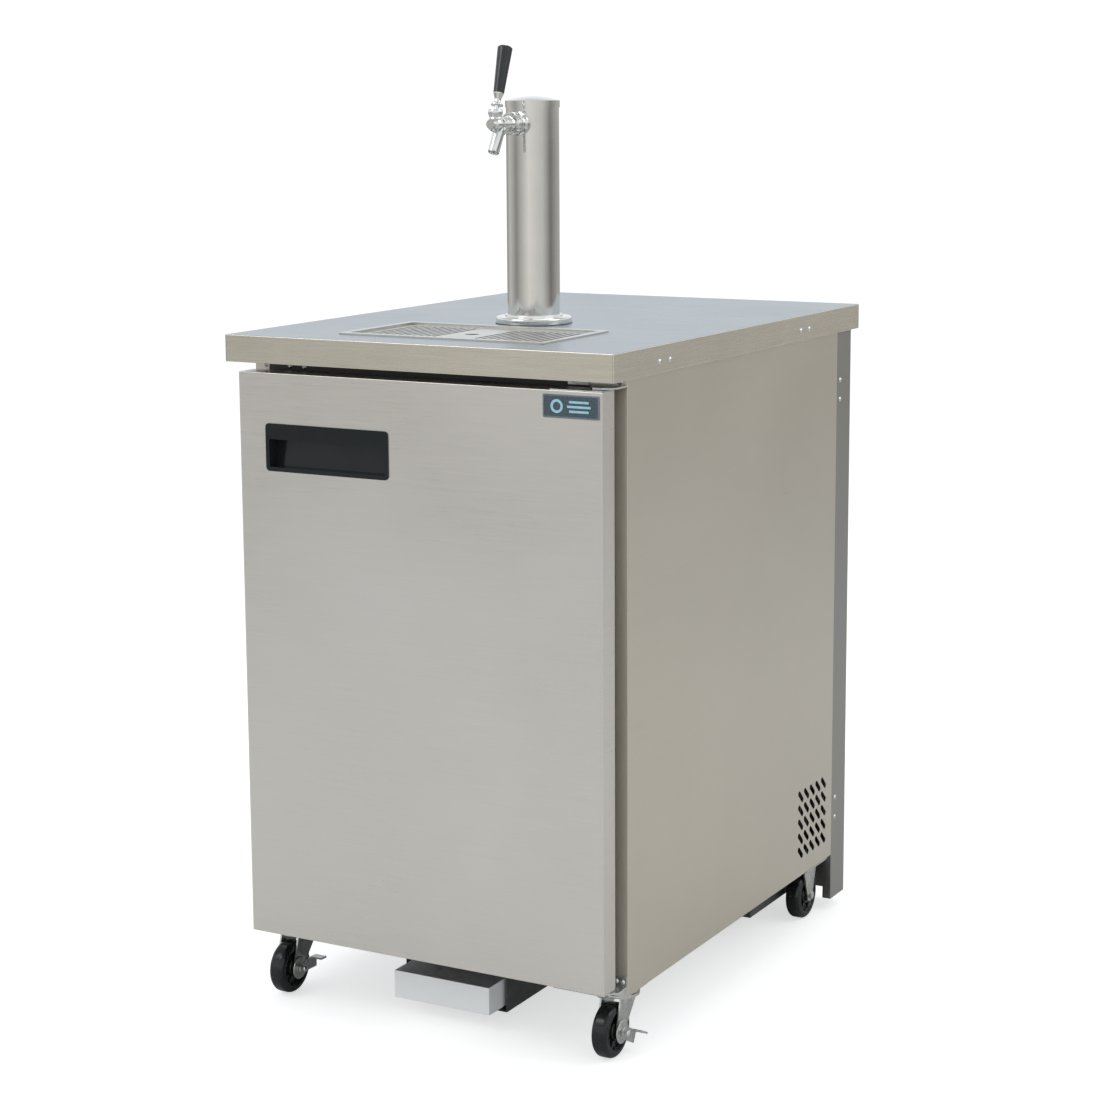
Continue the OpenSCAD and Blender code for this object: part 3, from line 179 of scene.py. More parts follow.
def brushed(name, colour, roughness, side=None):
    """Satin steel, its grain level round the sides and along X on faces that lie flat.

    side, where given, is a lighter, warmer copy of the colour for the upright faces: painted reflection, standing in
    for how they catch the light unlike the top, not a different finish.
    """
    look = Look(name, Metallic=1.0, Roughness=roughness, Specular_IOR_Level=0.5)
    along, fine, coarse = 14.0, 2400.0, 700.0
    side_fine = look.noise((along, along, fine), 3.0)
    side_band = look.noise((5.0, 5.0, coarse), 2.0)
    top_fine = look.noise((along, fine, along), 3.0)
    top_band = look.noise((5.0, coarse, 5.0), 2.0)
    geo = look.new("ShaderNodeNewGeometry")
    split = look.new("ShaderNodeSeparateXYZ")
    look.link(geo.outputs["True Normal"], split.inputs[0])
    flat = look.maths("GREATER_THAN", look.maths("ABSOLUTE", split.outputs["Z"], 0.0), 0.6)

    def pick(level, upward):
        node = look.new("ShaderNodeMix", data_type="FLOAT")
        look.link(flat, node.inputs[0])
        look.link(level, node.inputs[2])
        look.link(upward, node.inputs[3])
        return node.outputs[0]

    streak, band = pick(side_fine, top_fine), pick(side_band, top_band)
    smudge = look.noise(3.2, 3.0, 0.55, 0.4)
    both = look.maths("ADD", look.maths("MULTIPLY", streak, 0.75), look.maths("MULTIPLY", band, 0.25))

    def streaky(shade):
        return look.ramp(both, (0.3, tint(shade, 1 - GRAIN_CONTRAST)), (0.7, tint(shade, 1 + GRAIN_CONTRAST)))

    base = streaky(colour)
    # Painted reflection: upright faces take the lit copy of the same steel's colour
    if side:
        base = look.mix(flat, streaky(side), base)
    cloud = look.ramp(smudge, (0.3, (0.965, 0.962, 0.955)), (0.7, (1.0, 1.0, 1.0)))
    look.colour(look.mix(1.0, base, cloud, "MULTIPLY"))
    look.rough(look.maths("ADD", look.span(both, roughness - 0.05, roughness + 0.06),
                          look.span(smudge, -0.015, 0.03)))
    look.bump(streak, 0.006, 0.3)
    look.bump(look.noise(1.7, 1.0), 1.2, 0.05)
    return look.mat


def polished(name, colour, roughness=0.05):
    look = Look(name, Metallic=1.0, Roughness=roughness)
    lines = look.noise((900.0, 900.0, 6.0), 2.0)
    haze = look.noise(26.0, 3.0, 0.6)
    look.colour(look.ramp(haze, (0.3, tint(colour, 0.95)), (0.72, colour)))
    look.rough(look.maths("ADD", look.span(lines, roughness * 0.7, roughness * 1.5),
                          look.span(haze, 0.0, 0.035)))
    look.bump(lines, 0.004, 0.2)
    look.bump(look.noise(30.0, 1.0), 0.02, 0.2)
    return look.mat


def zinc_look(name, colour, roughness=0.34, mottle=0.1, cell=160.0):
    """Zinc plate or galvanising: faint crystal cells, a cloudy tint and brighter edges."""
    look = Look(name, Metallic=1.0, Roughness=roughness)
    cells = look.new("ShaderNodeTexVoronoi")
    cells.inputs["Scale"].default_value = 1.0
    look.link(look.coords((cell,) * 3), cells.inputs["Vector"])
    grey = look.new("ShaderNodeRGBToBW")
    look.link(cells.outputs["Color"], grey.inputs[0])
    base = look.ramp(grey.outputs[0], (0.2, tint(colour, 1 - mottle)), (0.8, tint(colour, 1 + mottle)))
    cloud = look.ramp(look.noise(45.0, 4.0, 0.6), (0.32, (0.8, 0.81, 0.84)), (0.66, (1.0, 0.995, 0.98)))
    worn = look.mix(look.edge_wear(), look.mix(1.0, base, cloud, "MULTIPLY"), tint(colour, 1.18))
    look.colour(worn)
    look.rough(look.span(look.noise(90.0, 3.0), roughness - 0.08, roughness + 0.12))
    look.bump(look.noise(420.0, 2.0), 0.03, 0.4)
    return look.mat


def plastic(name, colour, roughness=0.4, grain=900.0, depth=0.03, dust=0.0, coat=0.0, level=0.5, soiling=0.09):
    look = Look(name, Roughness=roughness, Coat_Weight=coat, Coat_Roughness=0.08,
                Specular_IOR_Level=level)
    soil = look.noise(24.0, 4.0, 0.6)
    base = look.ramp(soil, (0.3, tint(colour, 1 - soiling)), (0.7, tint(colour, 1 + soiling)))
    if dust:
        base = look.mix(look.span(look.noise(55.0, 5.0, 0.7), 0.0, dust, (0.45, 0.75)),
                        base, (0.42, 0.41, 0.39))
    look.colour(look.mix(look.maths("MULTIPLY", look.edge_wear(), 0.4), base, tint(colour, 1.7)))
    look.rough(look.span(look.noise(60.0, 3.0), roughness - 0.06, roughness + 0.08))
    look.bump(look.noise(grain, 3.0, 0.6), depth, 0.4)
    return look.mat


def foam_look():
    look = Look("foam", Roughness=0.95, Subsurface_Weight=0.05)
    cells = look.new("ShaderNodeTexVoronoi")
    cells.inputs["Scale"].default_value = 1.0
    look.link(look.coords((420.0,) * 3), cells.inputs["Vector"])
    look.colour(look.ramp(cells.outputs["Distance"], (0.0, (0.5, 0.42, 0.2)), (0.6, (0.86, 0.76, 0.48))))
    look.bump(cells.outputs["Distance"], 0.6, 0.7)
    return look.mat


def board_look():
    look = Look("core_board", Roughness=0.8)
    chips = look.noise((60.0, 190.0, 190.0), 6.0, 0.7)
    look.colour(look.ramp(chips, (0.3, (0.3, 0.2, 0.11)), (0.55, (0.52, 0.39, 0.24)), (0.75, (0.66, 0.53, 0.36))))
    look.bump(chips, 0.5, 0.4)
    return look.mat


def copper_look():
    look = Look("copper", Metallic=1.0, Roughness=0.3)
    stain = look.noise(70.0, 4.0, 0.6)
    look.colour(look.ramp(stain, (0.3, (0.34, 0.13, 0.07)), (0.5, (0.72, 0.33, 0.19)), (0.75, (0.86, 0.45, 0.29))))
    look.rough(look.span(stain, 0.5, 0.22))
    look.bump(look.noise(300.0, 2.0), 0.03, 0.3)
    return look.mat


def tube_look():
    look = Look("clear_tube", Roughness=0.16, Transmission_Weight=0.55, IOR=1.45)
    haze = look.noise((40.0, 40.0, 12.0), 3.0)
    look.colour(look.ramp(haze, (0.3, (0.76, 0.79, 0.78)), (0.7, (0.9, 0.92, 0.92))))
    look.rough(look.span(haze, 0.1, 0.3))
    look.bump(haze, 0.2, 0.3)
    return look.mat


def rubber_look(name, colour, roughness, marks):
    """Rubber with scuffed, dusty patches; marks is how far the scuffs show."""
    look = Look(name, Roughness=roughness, Specular_IOR_Level=0.45)
    scuff = look.noise((90.0, 240.0, 90.0), 6.0, 0.72, 0.6)
    base = look.ramp(look.noise(30.0, 3.0), (0.3, tint(colour, 0.8)), (0.7, tint(colour, 1.15)))
    look.colour(look.mix(look.span(scuff, 0.0, marks, (0.55, 0.75)), base, (0.3, 0.295, 0.285)))
    look.rough(look.span(scuff, roughness - 0.06, roughness + 0.25, (0.45, 0.75)))
    look.bump(look.noise(520.0, 4.0, 0.65), 0.08, 0.5)
    return look.mat


def badge_look():
    """Enamelled plate: what stands proud is pale blue, the sunk field dark blue-grey."""
    front = box_mm("door_badge")[0][1]
    look = Look("badge_enamel", Roughness=0.3, Coat_Weight=0.6, Coat_Roughness=0.06)
    split = look.new("ShaderNodeSeparateXYZ")
    look.link(look.coords(), split.inputs[0])
    raised = look.maths("LESS_THAN", split.outputs["Y"], (front + 0.35) * MM)
    speck = look.noise(500.0, 3.0)
    field = look.ramp(speck, (0.3, (0.035, 0.06, 0.08)), (0.7, (0.07, 0.105, 0.13)))
    mark = look.ramp(speck, (0.3, (0.3, 0.58, 0.68)), (0.7, (0.42, 0.7, 0.78)))
    lo, hi = box_mm("door_badge")
    rim = look.maths("MAXIMUM", *(
        look.maths("GREATER_THAN", look.maths("ABSOLUTE", look.maths("SUBTRACT", split.outputs[axis],
                                              (lo[i] + hi[i]) / 2 * MM), 0.0), ((hi[i] - lo[i]) / 2 - 2.3) * MM)
        for axis, i in (("X", 0), ("Z", 2))))
    edge = look.ramp(speck, (0.3, (0.12, 0.15, 0.17)), (0.7, (0.19, 0.23, 0.25)))
    look.colour(look.mix(rim, look.mix(raised, field, mark), edge))
    look.rough(look.span(speck, 0.24, 0.38))
    look.bump(speck, 0.02, 0.4)
    return look.mat


LOOKS = {
    # Two lit copies of one sheet of steel, painted reflection: a darker bluish top and a lighter warm colour on the
    # upright faces
    "worktop_steel": brushed("worktop_steel", (0.32, 0.355, 0.376), 0.25, (0.79, 0.74, 0.63)),
    "panel_steel": brushed("panel_steel", (0.72, 0.66, 0.566), 0.33),
    "door_steel": brushed("door_steel", (0.8, 0.755, 0.7), 0.31),
    "cover_steel": brushed("cover_steel", (0.39, 0.378, 0.35), 0.34),
    "tray_steel": brushed("tray_steel", (0.6, 0.59, 0.55), 0.24),
    "polished_steel": polished("polished_steel", (0.78, 0.77, 0.74)),
    "galvanised": zinc_look("galvanised", (0.55, 0.57, 0.58), 0.42, 0.16, 70.0),
    "zinc": zinc_look("zinc", (0.62, 0.62, 0.585), 0.3),
    "screw_zinc": zinc_look("screw_zinc", (0.72, 0.73, 0.73), 0.2, 0.05, 600.0),
    "coil_metal": zinc_look("coil_metal", (0.42, 0.43, 0.44), 0.38, 0.05, 300.0),
    "copper": copper_look(),
    "core_board": board_look(),
    "foam": foam_look(),
    "clear_tube": tube_look(),
    "badge_enamel": badge_look(),
    "liner_white": plastic("liner_white", (0.82, 0.83, 0.82), 0.36, 1400.0, 0.015, soiling=0.012),
    "pan_white": plastic("pan_white", (0.96, 0.95, 0.935), 0.42, 1100.0, 0.02, soiling=0.012),
    "frame_plastic": plastic("frame_plastic", (0.045, 0.046, 0.046), 0.4),
    "black_plastic": plastic("black_plastic", (0.014, 0.014, 0.015), 0.42, 1000.0, 0.03, 0.05),
    "pull_plastic": plastic("pull_plastic", (0.013, 0.0155, 0.0175), 0.11, 1300.0, 0.006, level=0.3),
    "handle_plastic": plastic("handle_plastic", (0.009, 0.0115, 0.0115), 0.26, 1300.0, 0.015, 0.0, 0.2),
    "dark_paint": plastic("dark_paint", (0.06, 0.064, 0.06), 0.5, 700.0, 0.06, 0.12),
    "compressor_paint": plastic("compressor_paint", (0.012, 0.012, 0.013), 0.26, 260.0, 0.12, 0.08, 0.5),
    "wheel_rubber": rubber_look("wheel_rubber", (0.008, 0.008, 0.0085), 0.2, 0.12),
    "gasket_rubber": rubber_look("gasket_rubber", (0.12, 0.12, 0.115), 0.6, 0.06),
}

# Bevel on the edges of a node that EDGES doesn't name, in millimetres
EDGE = 0.35
# A bevel of these widths, in millimetres, goes on these nodes' edges
EDGES = {
    "worktop": 1.1, "door_skin": 0.9, "side_panel_right": 0.7, "side_panel_left": 0.7,
    "rear_cover": 0.9, "drip_tray": 0.4, "drip_grille": 0.3, "door_handle": 1.2, "drain_pan": 0.6,
    "caster_fork_right": 0.8, "caster_fork_left": 0.8, "rear_caster_forks": 0.8, "brake_right": 0.8,
    "brake_left": 0.8, "hinge_brackets": 0.6, "caster_plates": 0.6, "cord_gland": 0.6,
    "tower_flange": 0.5, "coupling_nut": 0.5, "tap_body": 0.4, "tap_lever": 0.3, "front_frame": 0.8,
    "evaporator_cover": 0.5, "inner_liner": 0.4, "drain_shroud": 0.5, "machine_tray": 0.5,
    "condenser_fan": 0.3, "evaporator_fan": 0.3, "door_gasket": 1.2, "door_liner": 1.0,
    "compressor": 1.5, "thermostat_knob": 0.8, "fan_motors": 0.8,
}
# Nodes left as they are
PLAIN = ("panel_screws", "door_badge", "refrigerant_lines", "beer_line", "drain_tube", "condenser",
         "evaporator", "cabinet_insulation", "door_insulation", "tower_insulation", "worktop_core",
         "tower_column", "tower_cap", "tap_handle", "tower_shank")

# Sheets with holes in their flat faces: only the edges of their own box are rounded
BOXED = ("worktop", "side_panel_right", "side_panel_left", "rear_cover", "door_skin")


def mark_box_edges(obj):
    """Gives a bevel weight to each edge that lies along an edge of the mesh's own box."""
    mesh = obj.data
    co = [v.co for v in mesh.vertices]
    lo = [min(c[i] for c in co) for i in range(3)]
    hi = [max(c[i] for c in co) for i in range(3)]
    on = [{(i, s) for i in range(3) for s, q in ((0, lo), (1, hi)) if abs(c[i] - q[i]) < 1e-5} for c in co]
    weight = mesh.attributes.new("bevel_weight_edge", "FLOAT", "EDGE")
    for k, edge in enumerate(mesh.edges):
        a, b = edge.vertices
        weight.data[k].value = 1.0 if len(on[a] & on[b]) >= 2 else 0.0


def soften(obj, width_mm, weld=True, boxed=False):
    """Rounds an object's edges with modifiers, or only those of its own box if boxed."""
    if boxed:
        mark_box_edges(obj)
    if weld:
        join = obj.modifiers.new("weld", "WELD")
        join.merge_threshold = 2e-6
    bevel = obj.modifiers.new("bevel", "BEVEL")
    bevel.width = width_mm * MM
    bevel.segments = 2
    bevel.limit_method = "WEIGHT" if boxed else "ANGLE"
    bevel.angle_limit = math.radians(38)
    bevel.harden_normals = True
    bevel.use_clamp_overlap = not boxed


for name, obj in NODES.items():
    slot = obj.data.materials[0].name.split(".")[0]
    obj.data.materials[0] = LOOKS[slot]
    if name not in PLAIN:
        soften(obj, EDGES.get(name, EDGE), boxed=name in BOXED)

# ---------------------------------------------------------------- mesh building


class Shape:
    """Collects closed solids in millimetres and makes one piece of them."""

    def __init__(self):
        self.verts, self.faces = [], []

    def add(self, verts, faces):
        n = len(self.verts)
        self.verts += [tuple(v) for v in verts]
        self.faces += [tuple(i + n for i in f) for f in faces]

    def block(self, lo, hi):
        """A box, built along its longest side."""
        size = [hi[i] - lo[i] for i in range(3)]
        a = size.index(max(size))
        u, v = (a + 1) % 3, (a + 2) % 3
        ring = [(lo[u], lo[v]), (hi[u], lo[v]), (hi[u], hi[v]), (lo[u], hi[v])]
        self.prism([self.place(a, u, v, 0.0, p) for p in ring], self.unit(a, size[a]), self.unit(a, lo[a]))

    @staticmethod
    def place(a, u, v, at, p):
        q = [0.0, 0.0, 0.0]
        q[a], q[u], q[v] = at, p[0], p[1]
        return Vector(q)

    @staticmethod
    def unit(a, length):
        q = [0.0, 0.0, 0.0]
        q[a] = length
        return Vector(q)

    def prism(self, ring, along, at=Vector((0, 0, 0))):
        """A closed outline pushed along a vector."""
        n = len(ring)
        verts = [p + at for p in ring] + [p + at + along for p in ring]
        faces = [(i, (i + 1) % n, n + (i + 1) % n, n + i) for i in range(n)]
        self.add(verts, faces + [tuple(reversed(range(n))), tuple(range(n, 2 * n))])

    def lathe(self, profile, at, axis="Z", n=48):
        """Turns a closed outline of (radius, height) points about an axis through at."""
        frames = {"X": ((0, 1, 0), (0, 0, 1), (1, 0, 0)), "Y": ((0, 0, 1), (1, 0, 0), (0, 1, 0)),
                  "Z": ((1, 0, 0), (0, 1, 0), (0, 0, 1))}
        u, v, w = (Vector(a) for a in frames[axis])
        at, k = Vector(at), len(profile)
        verts = []
        for i in range(n):
            a = 2 * math.pi * i / n
            out = u * math.cos(a) + v * math.sin(a)
            verts += [at + out * r + w * h for r, h in profile]
        faces = [(i * k + j, ((i + 1) % n) * k + j, ((i + 1) % n) * k + (j + 1) % k, i * k + (j + 1) % k)
                 for i in range(n) for j in range(k)]
        self.add(verts, faces)

    def torus(self, at, axis, radius, wire, n=64, m=10, flat=1.0):
        profile = [(radius + wire * math.cos(2 * math.pi * j / m), flat * wire * math.sin(2 * math.pi * j / m))
                   for j in range(m)]
        self.lathe(profile, at, axis, n)

    def tube(self, points, radius, m=10):
        """A round wire along points, with closed ends."""
        pts = [Vector(p) for p in points]
        verts, faces, normal = [], [], None
        for i, p in enumerate(pts):
            way = (pts[min(i + 1, len(pts) - 1)] - pts[max(i - 1, 0)]).normalized()
            if normal is None:
                normal = way.orthogonal().normalized()
            normal = (normal - way * normal.dot(way)).normalized()
            side = way.cross(normal)
            verts += [p + radius * (normal * math.cos(2 * math.pi * j / m) + side * math.sin(2 * math.pi * j / m))
                      for j in range(m)]
        for i in range(len(pts) - 1):
            faces += [(i * m + j, i * m + (j + 1) % m, (i + 1) * m + (j + 1) % m, (i + 1) * m + j)
                      for j in range(m)]
        last = (len(pts) - 1) * m
        faces += [tuple(reversed(range(m))), tuple(range(last, last + m))]
        self.add(verts, faces)

    def piece(self, name, body, slot, edge=0.0, smooth=40.0):
        """Makes the object, which rides on body; edge is its bevel, smooth the angle shaded as one surface."""
        mesh = bpy.data.meshes.new(name)
        mesh.from_pydata([Vector(v) * MM for v in self.verts], [], self.faces)
        mesh.update()
        obj = bpy.data.objects.new(name, mesh)
        bpy.context.scene.collection.objects.link(obj)
        bm = bmesh.new()
        bm.from_mesh(mesh)
        bmesh.ops.recalc_face_normals(bm, faces=bm.faces)
        bm.to_mesh(mesh)
        bm.free()
        mesh.materials.append(LOOKS[slot])
        mesh.shade_smooth()
        for face in mesh.polygons:
            face.use_smooth = len(face.vertices) <= 4
        mesh.set_sharp_from_angle(angle=math.radians(smooth))
        if edge:
            soften(obj, edge, weld=False)
        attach(obj, body)


def arc(centre, radius, a0, a1, n, plane="XZ"):
    """Points of an arc in a plane, angles in degrees."""
    i, j = "XYZ".index(plane[0]), "XYZ".index(plane[1])
    out = []
    for k in range(n + 1):
        a = math.radians(a0 + (a1 - a0) * k / n)
        p = list(centre)
        p[i] += radius * math.cos(a)
        p[j] += radius * math.sin(a)
        out.append(tuple(p))
    return out


# ---------------------------------------------------------------- worktop and tower

(top_x0, top_y0, top_z0), (top_x1, top_y1, top_z1) = box_mm("worktop")

# Welded corner of each fold: a narrow ground bead up the edge
seams = Shape()
for x, sx in ((top_x0, 1), (top_x1, -1)):
    for y, sy in ((top_y0, 1), (top_y1, -1)):
        seams.block((min(x + sx * 1.4, x + sx * 2.0), min(y - sy * 0.08, y + sy * 0.5), top_z0 + 0.6),
                    (max(x + sx * 1.4, x + sx * 2.0), max(y - sy * 0.08, y + sy * 0.5), top_z1 - 1.0))
seams.piece("worktop_corner_seams", "cabinet", "cover_steel")

fl_lo, fl_hi = box_mm("tower_flange")
tower_x, tower_y = (fl_lo[0] + fl_hi[0]) / 2, (fl_lo[1] + fl_hi[1]) / 2
flange_r = (fl_hi[0] - fl_lo[0]) / 2
seal = Shape()
seal.lathe([(flange_r - 4, 0.02), (flange_r + 0.5, 0.02), (flange_r + 0.7, 0.5), (flange_r + 0.5, 1.0),
            (flange_r - 4, 1.0)], (tower_x, tower_y, top_z1), n=96)
seal.piece("flange_seal", "cabinet", "gasket_rubber")

# Rubber ring between the shank's collar and the tap's nut
nut_lo, nut_hi = box_mm("coupling_nut")
shank_z = (nut_lo[2] + nut_hi[2]) / 2
ring = Shape()
ring.torus((tower_x, nut_hi[1] + 0.25, shank_z), "Y", 12.4, 0.55, 48, 8)
ring.piece("tap_seal_ring", "cabinet", "black_plastic")

# ---------------------------------------------------------------- machine compartment

co_lo, co_hi = box_mm("condenser")
fins = Shape()
fin_z0, fin_z1 = co_lo[2] + 15.0, co_hi[2] - 1.0
count = 58
for i in range(count):
    y = co_lo[1] + 3.0 + i * (co_hi[1] - co_lo[1] - 6.3) / (count - 1)
    fins.block((co_lo[0] + 1.0, y, fin_z0), (co_hi[0] - 1.0, y + 0.35, fin_z1))
fins.piece("condenser_fins", "cabinet", "coil_metal")

# Return bends of the condenser's tubes beyond its end plates
bends = Shape()
rows, tube_x = 6, (co_lo[0] + co_hi[0]) / 2
coil_z0 = co_lo[2] + 14.0
step = (co_hi[2] - coil_z0) / rows
for j in range(rows - 1):
    y_end, sign = (co_lo[1], -1) if j % 2 else (co_hi[1], 1)
    zc = coil_z0 + (j + 1.0) * step
    pts = [(tube_x, y_end + sign * step / 2 * math.sin(math.radians(a)) * 0.28,
            zc - step / 2 * math.cos(math.radians(a))) for a in range(0, 181, 12)]
    pts = [(tube_x, y_end - sign * 3, zc - step / 2)] + pts + [(tube_x, y_end - sign * 3, zc + step / 2)]
    bends.tube(pts, 4.2, 12)
bends.piece("condenser_return_bends", "cabinet", "copper")


def wire_guard(name, at, axis, radius, rings, spokes, wire, body, slot, bulge=3.0):
    """Finger guard of concentric rings on radial wires."""
    guard = Shape()
    at = Vector(at)
    for k in range(rings):
        r = radius * (0.22 + 0.78 * (k + 1) / rings)
        lift = bulge * (1 - (r / radius) ** 2)
        place = at + (Vector((lift, 0, 0)) if axis == "X" else Vector((0, -lift, 0)))
        guard.torus(place, axis, r, wire / 2, 64, 8)
    for k in range(spokes):
        a = 2 * math.pi * (k + 0.5) / spokes
        pts = []
        for j in range(9):
            r = radius * (0.2 + 0.88 * j / 8)
            lift = bulge * (1 - (r / radius) ** 2) - wire * 0.8 if r < radius * 1.01 else -wire * 0.5
            d = Vector((0, math.cos(a), math.sin(a))) if axis == "X" else Vector((math.cos(a), 0, math.sin(a)))
            pts.append(at + d * r + (Vector((lift, 0, 0)) if axis == "X" else Vector((0, -lift, 0))))
        guard.tube(pts, wire / 2, 8)
    guard.piece(name, body, slot)


ec_lo, _ = box_mm("evaporator_cover")
ef_lo, ef_hi = box_mm("evaporator_fan")
fan_x, fan_z = (ef_lo[0] + ef_hi[0]) / 2, (ef_lo[2] + ef_hi[2]) / 2
wire_guard("evaporator_guard", (fan_x, ec_lo[1] - 1.2, fan_z), "Y", 47.0, 6, 6, 2.0, "cabinet", "zinc", 5.0)

# Dial marks round the thermostat's knob
kn_lo, kn_hi = box_mm("thermostat_knob")
dial = Shape()
kx, kz = (kn_lo[0] + kn_hi[0]) / 2, (kn_lo[2] + kn_hi[2]) / 2
for k in range(11):
    a = math.radians(90 - 135 + 27 * k)
    d, s = Vector((math.cos(a), 0, math.sin(a))), Vector((-math.sin(a), 0, math.cos(a)))
    long = 6.0 if k % 5 == 0 else 3.5
    mid = Vector((kx, ec_lo[1] - 0.35, kz))
    quad = [mid + d * 19 + s * 0.6, mid + d * 19 - s * 0.6, mid + d * (19 + long) - s * 0.6,
            mid + d * (19 + long) + s * 0.6]
    dial.prism(quad, Vector((0, 0.5, 0)))
dial.piece("thermostat_dial_marks", "cabinet", "black_plastic")

# Pressed hoods over the rear cover's louvre slots
FLOOR_Z, MACHINE_H = 92.0, 240.0
LOUVRE_PITCH, LOUVRE_COLUMNS = 22, (-1.5, -0.5, 0.5, 1.5)
HOOD_POINTS = 12
_, rc_hi = box_mm("rear_cover")
body_x = rc_hi[0]
bay = (2 * body_x - 90) / 4
hood_half = (bay - 24) / 2 + 2


def add_hood(shape, x, z):
    """One hood: an arched root on the sheet, a lip below it that stands off, and the sheet's thickness."""
    root = []
    for k in range(HOOD_POINTS + 1):
        t = math.pi * k / HOOD_POINTS
        rise = 4.4 * min(1.0, 2.2 * math.sin(t))
        root.append(Vector((x - hood_half * math.cos(t), rc_hi[1] - 0.05, z + 3.2 + rise)))
    lip = [Vector((x + (p.x - x) * 0.97, rc_hi[1] + 3.4, z - 2.2 + (p.z - z - 3.2) * 0.35)) for p in root]
    m = len(root)
    verts = root + lip + [p + Vector((0, -0.7, -0.9)) for p in lip] + [p + Vector((0, -0.6, -1.0)) for p in root]
    faces = [(a * m + k, a * m + k + 1, b * m + k + 1, b * m + k)
             for k in range(m - 1) for a, b in ((0, 1), (1, 2), (2, 3), (3, 0))]
    faces += [(0, m, 2 * m, 3 * m), (4 * m - 1, 3 * m - 1, 2 * m - 1, m - 1)]
    shape.add(verts, faces)


hoods = Shape()
for zc, lines in ((FLOOR_Z + MACHINE_H / 2, 9), (top_z0 - 90, 3)):
    for i in LOUVRE_COLUMNS:
        for j in range(lines):
            add_hood(hoods, i * bay, zc + (j - (lines - 1) / 2) * LOUVRE_PITCH)
hoods.piece("rear_louvre_hoods", "cabinet", "cover_steel")

# Compressor: two bands round the pot and rubber feet, each with a six-sided nut
cp_lo, cp_hi = box_mm("compressor")
px, py = (cp_lo[0] + cp_hi[0]) / 2, (cp_lo[1] + cp_hi[1]) / 2
pot = Shape()
pot.torus((px - 1, py, cp_lo[2] + 92), "Z", 72.2, 2.6, 72, 10, 1.3)
pot.torus((px - 1, py, cp_lo[2] + 19), "Z", 72.0, 1.8, 72, 8)
pot.piece("compressor_seams", "cabinet", "compressor_paint")
feet = Shape()
for sx in (-1, 1):
    for sy in (-1, 1):
        at = (px + sx * 74, py + sy * 46, cp_lo[2])
        feet.lathe([(4, 0), (11.5, 0), (12.5, 3), (10, 5), (12.5, 7), (11.5, 9.8), (4, 9.8)], at, n=32)
        feet.lathe([(0.01, 15.2), (5, 15.2), (5, 20), (4, 21), (0.01, 21)], at, n=6)
feet.piece("compressor_feet", "cabinet", "black_plastic")

# ---------------------------------------------------------------- door

# Folds of the gasket's bellows round its inner edge: distance behind the gasket's face, and width
GASKET_W = 18.0
FOLDS = ((2.4, 2.2), (8.2, 2.8), (11.4, 2.2))
FOLD_CORNER_R = 4
gk_lo, gk_hi = box_mm("door_gasket")
bellows = Shape()
x0, x1, z0, z1 = gk_lo[0] + GASKET_W, gk_hi[0] - GASKET_W, gk_lo[2] + GASKET_W, gk_hi[2] - GASKET_W
for behind, width in FOLDS:
    path = []
    for cx, cz, sx, sz, start in ((x0, z0, 1, 1, 180), (x1, z0, -1, 1, 270),
                                  (x1, z1, -1, -1, 0), (x0, z1, 1, -1, 90)):
        centre = (cx + sx * FOLD_CORNER_R, gk_lo[1] + behind, cz + sz * FOLD_CORNER_R)
        path += arc(centre, FOLD_CORNER_R, start, start + 90, 10)
    path.append(path[0])
    bellows.tube(path, width / 2 + 0.3, 8)
bellows.piece("gasket_bellows", "door", "gasket_rubber")

# Moulded step on the door's inner panel: a low raised frame and a shallow field
_, dl_hi = box_mm("door_liner")
panel = Shape()
px0, px1, pz0, pz1 = gk_lo[0] + 34, gk_hi[0] - 34, gk_lo[2] + 34, gk_hi[2] - 34


def rounded_ring(x0, x1, z0, z1, r, y, n=8):
    pts = []
    for cx, cz, a in ((x1 - r, z0 + r, 270), (x1 - r, z1 - r, 0), (x0 + r, z1 - r, 90), (x0 + r, z0 + r, 180)):
        pts += arc((cx, y, cz), r, a, a + 90, n)
    return [Vector(p) for p in pts]


def stepped(shape, rings):
    """Joins outlines of equal length one after the other and closes both ends."""
    n = len(rings[0])
    verts = [p for ring in rings for p in ring]
    faces = []
    for k in range(len(rings) - 1):
        faces += [(k * n + i, k * n + (i + 1) % n, (k + 1) * n + (i + 1) % n, (k + 1) * n + i) for i in range(n)]
    last = (len(rings) - 1) * n
    faces += [tuple(reversed(range(n))), tuple(range(last, last + n))]
    shape.add(verts, faces)


y = dl_hi[1]
rings = [rounded_ring(px0 - a, px1 + a, pz0 - a, pz1 + a, max(22 + a, 6), y + h)
         for a, h in ((6, -0.4), (5, 0.2), (2.0, 4.2), (0, 6.0), (-3, 6.6), (-16, 6.6), (-19, 6.0), (-21, 4.4),
                      (-24, 2.6), (-27, 2.0))]
stepped(panel, rings)
panel.piece("door_inner_panel", "door", "liner_white", smooth=60)

# ---------------------------------------------------------------- castors

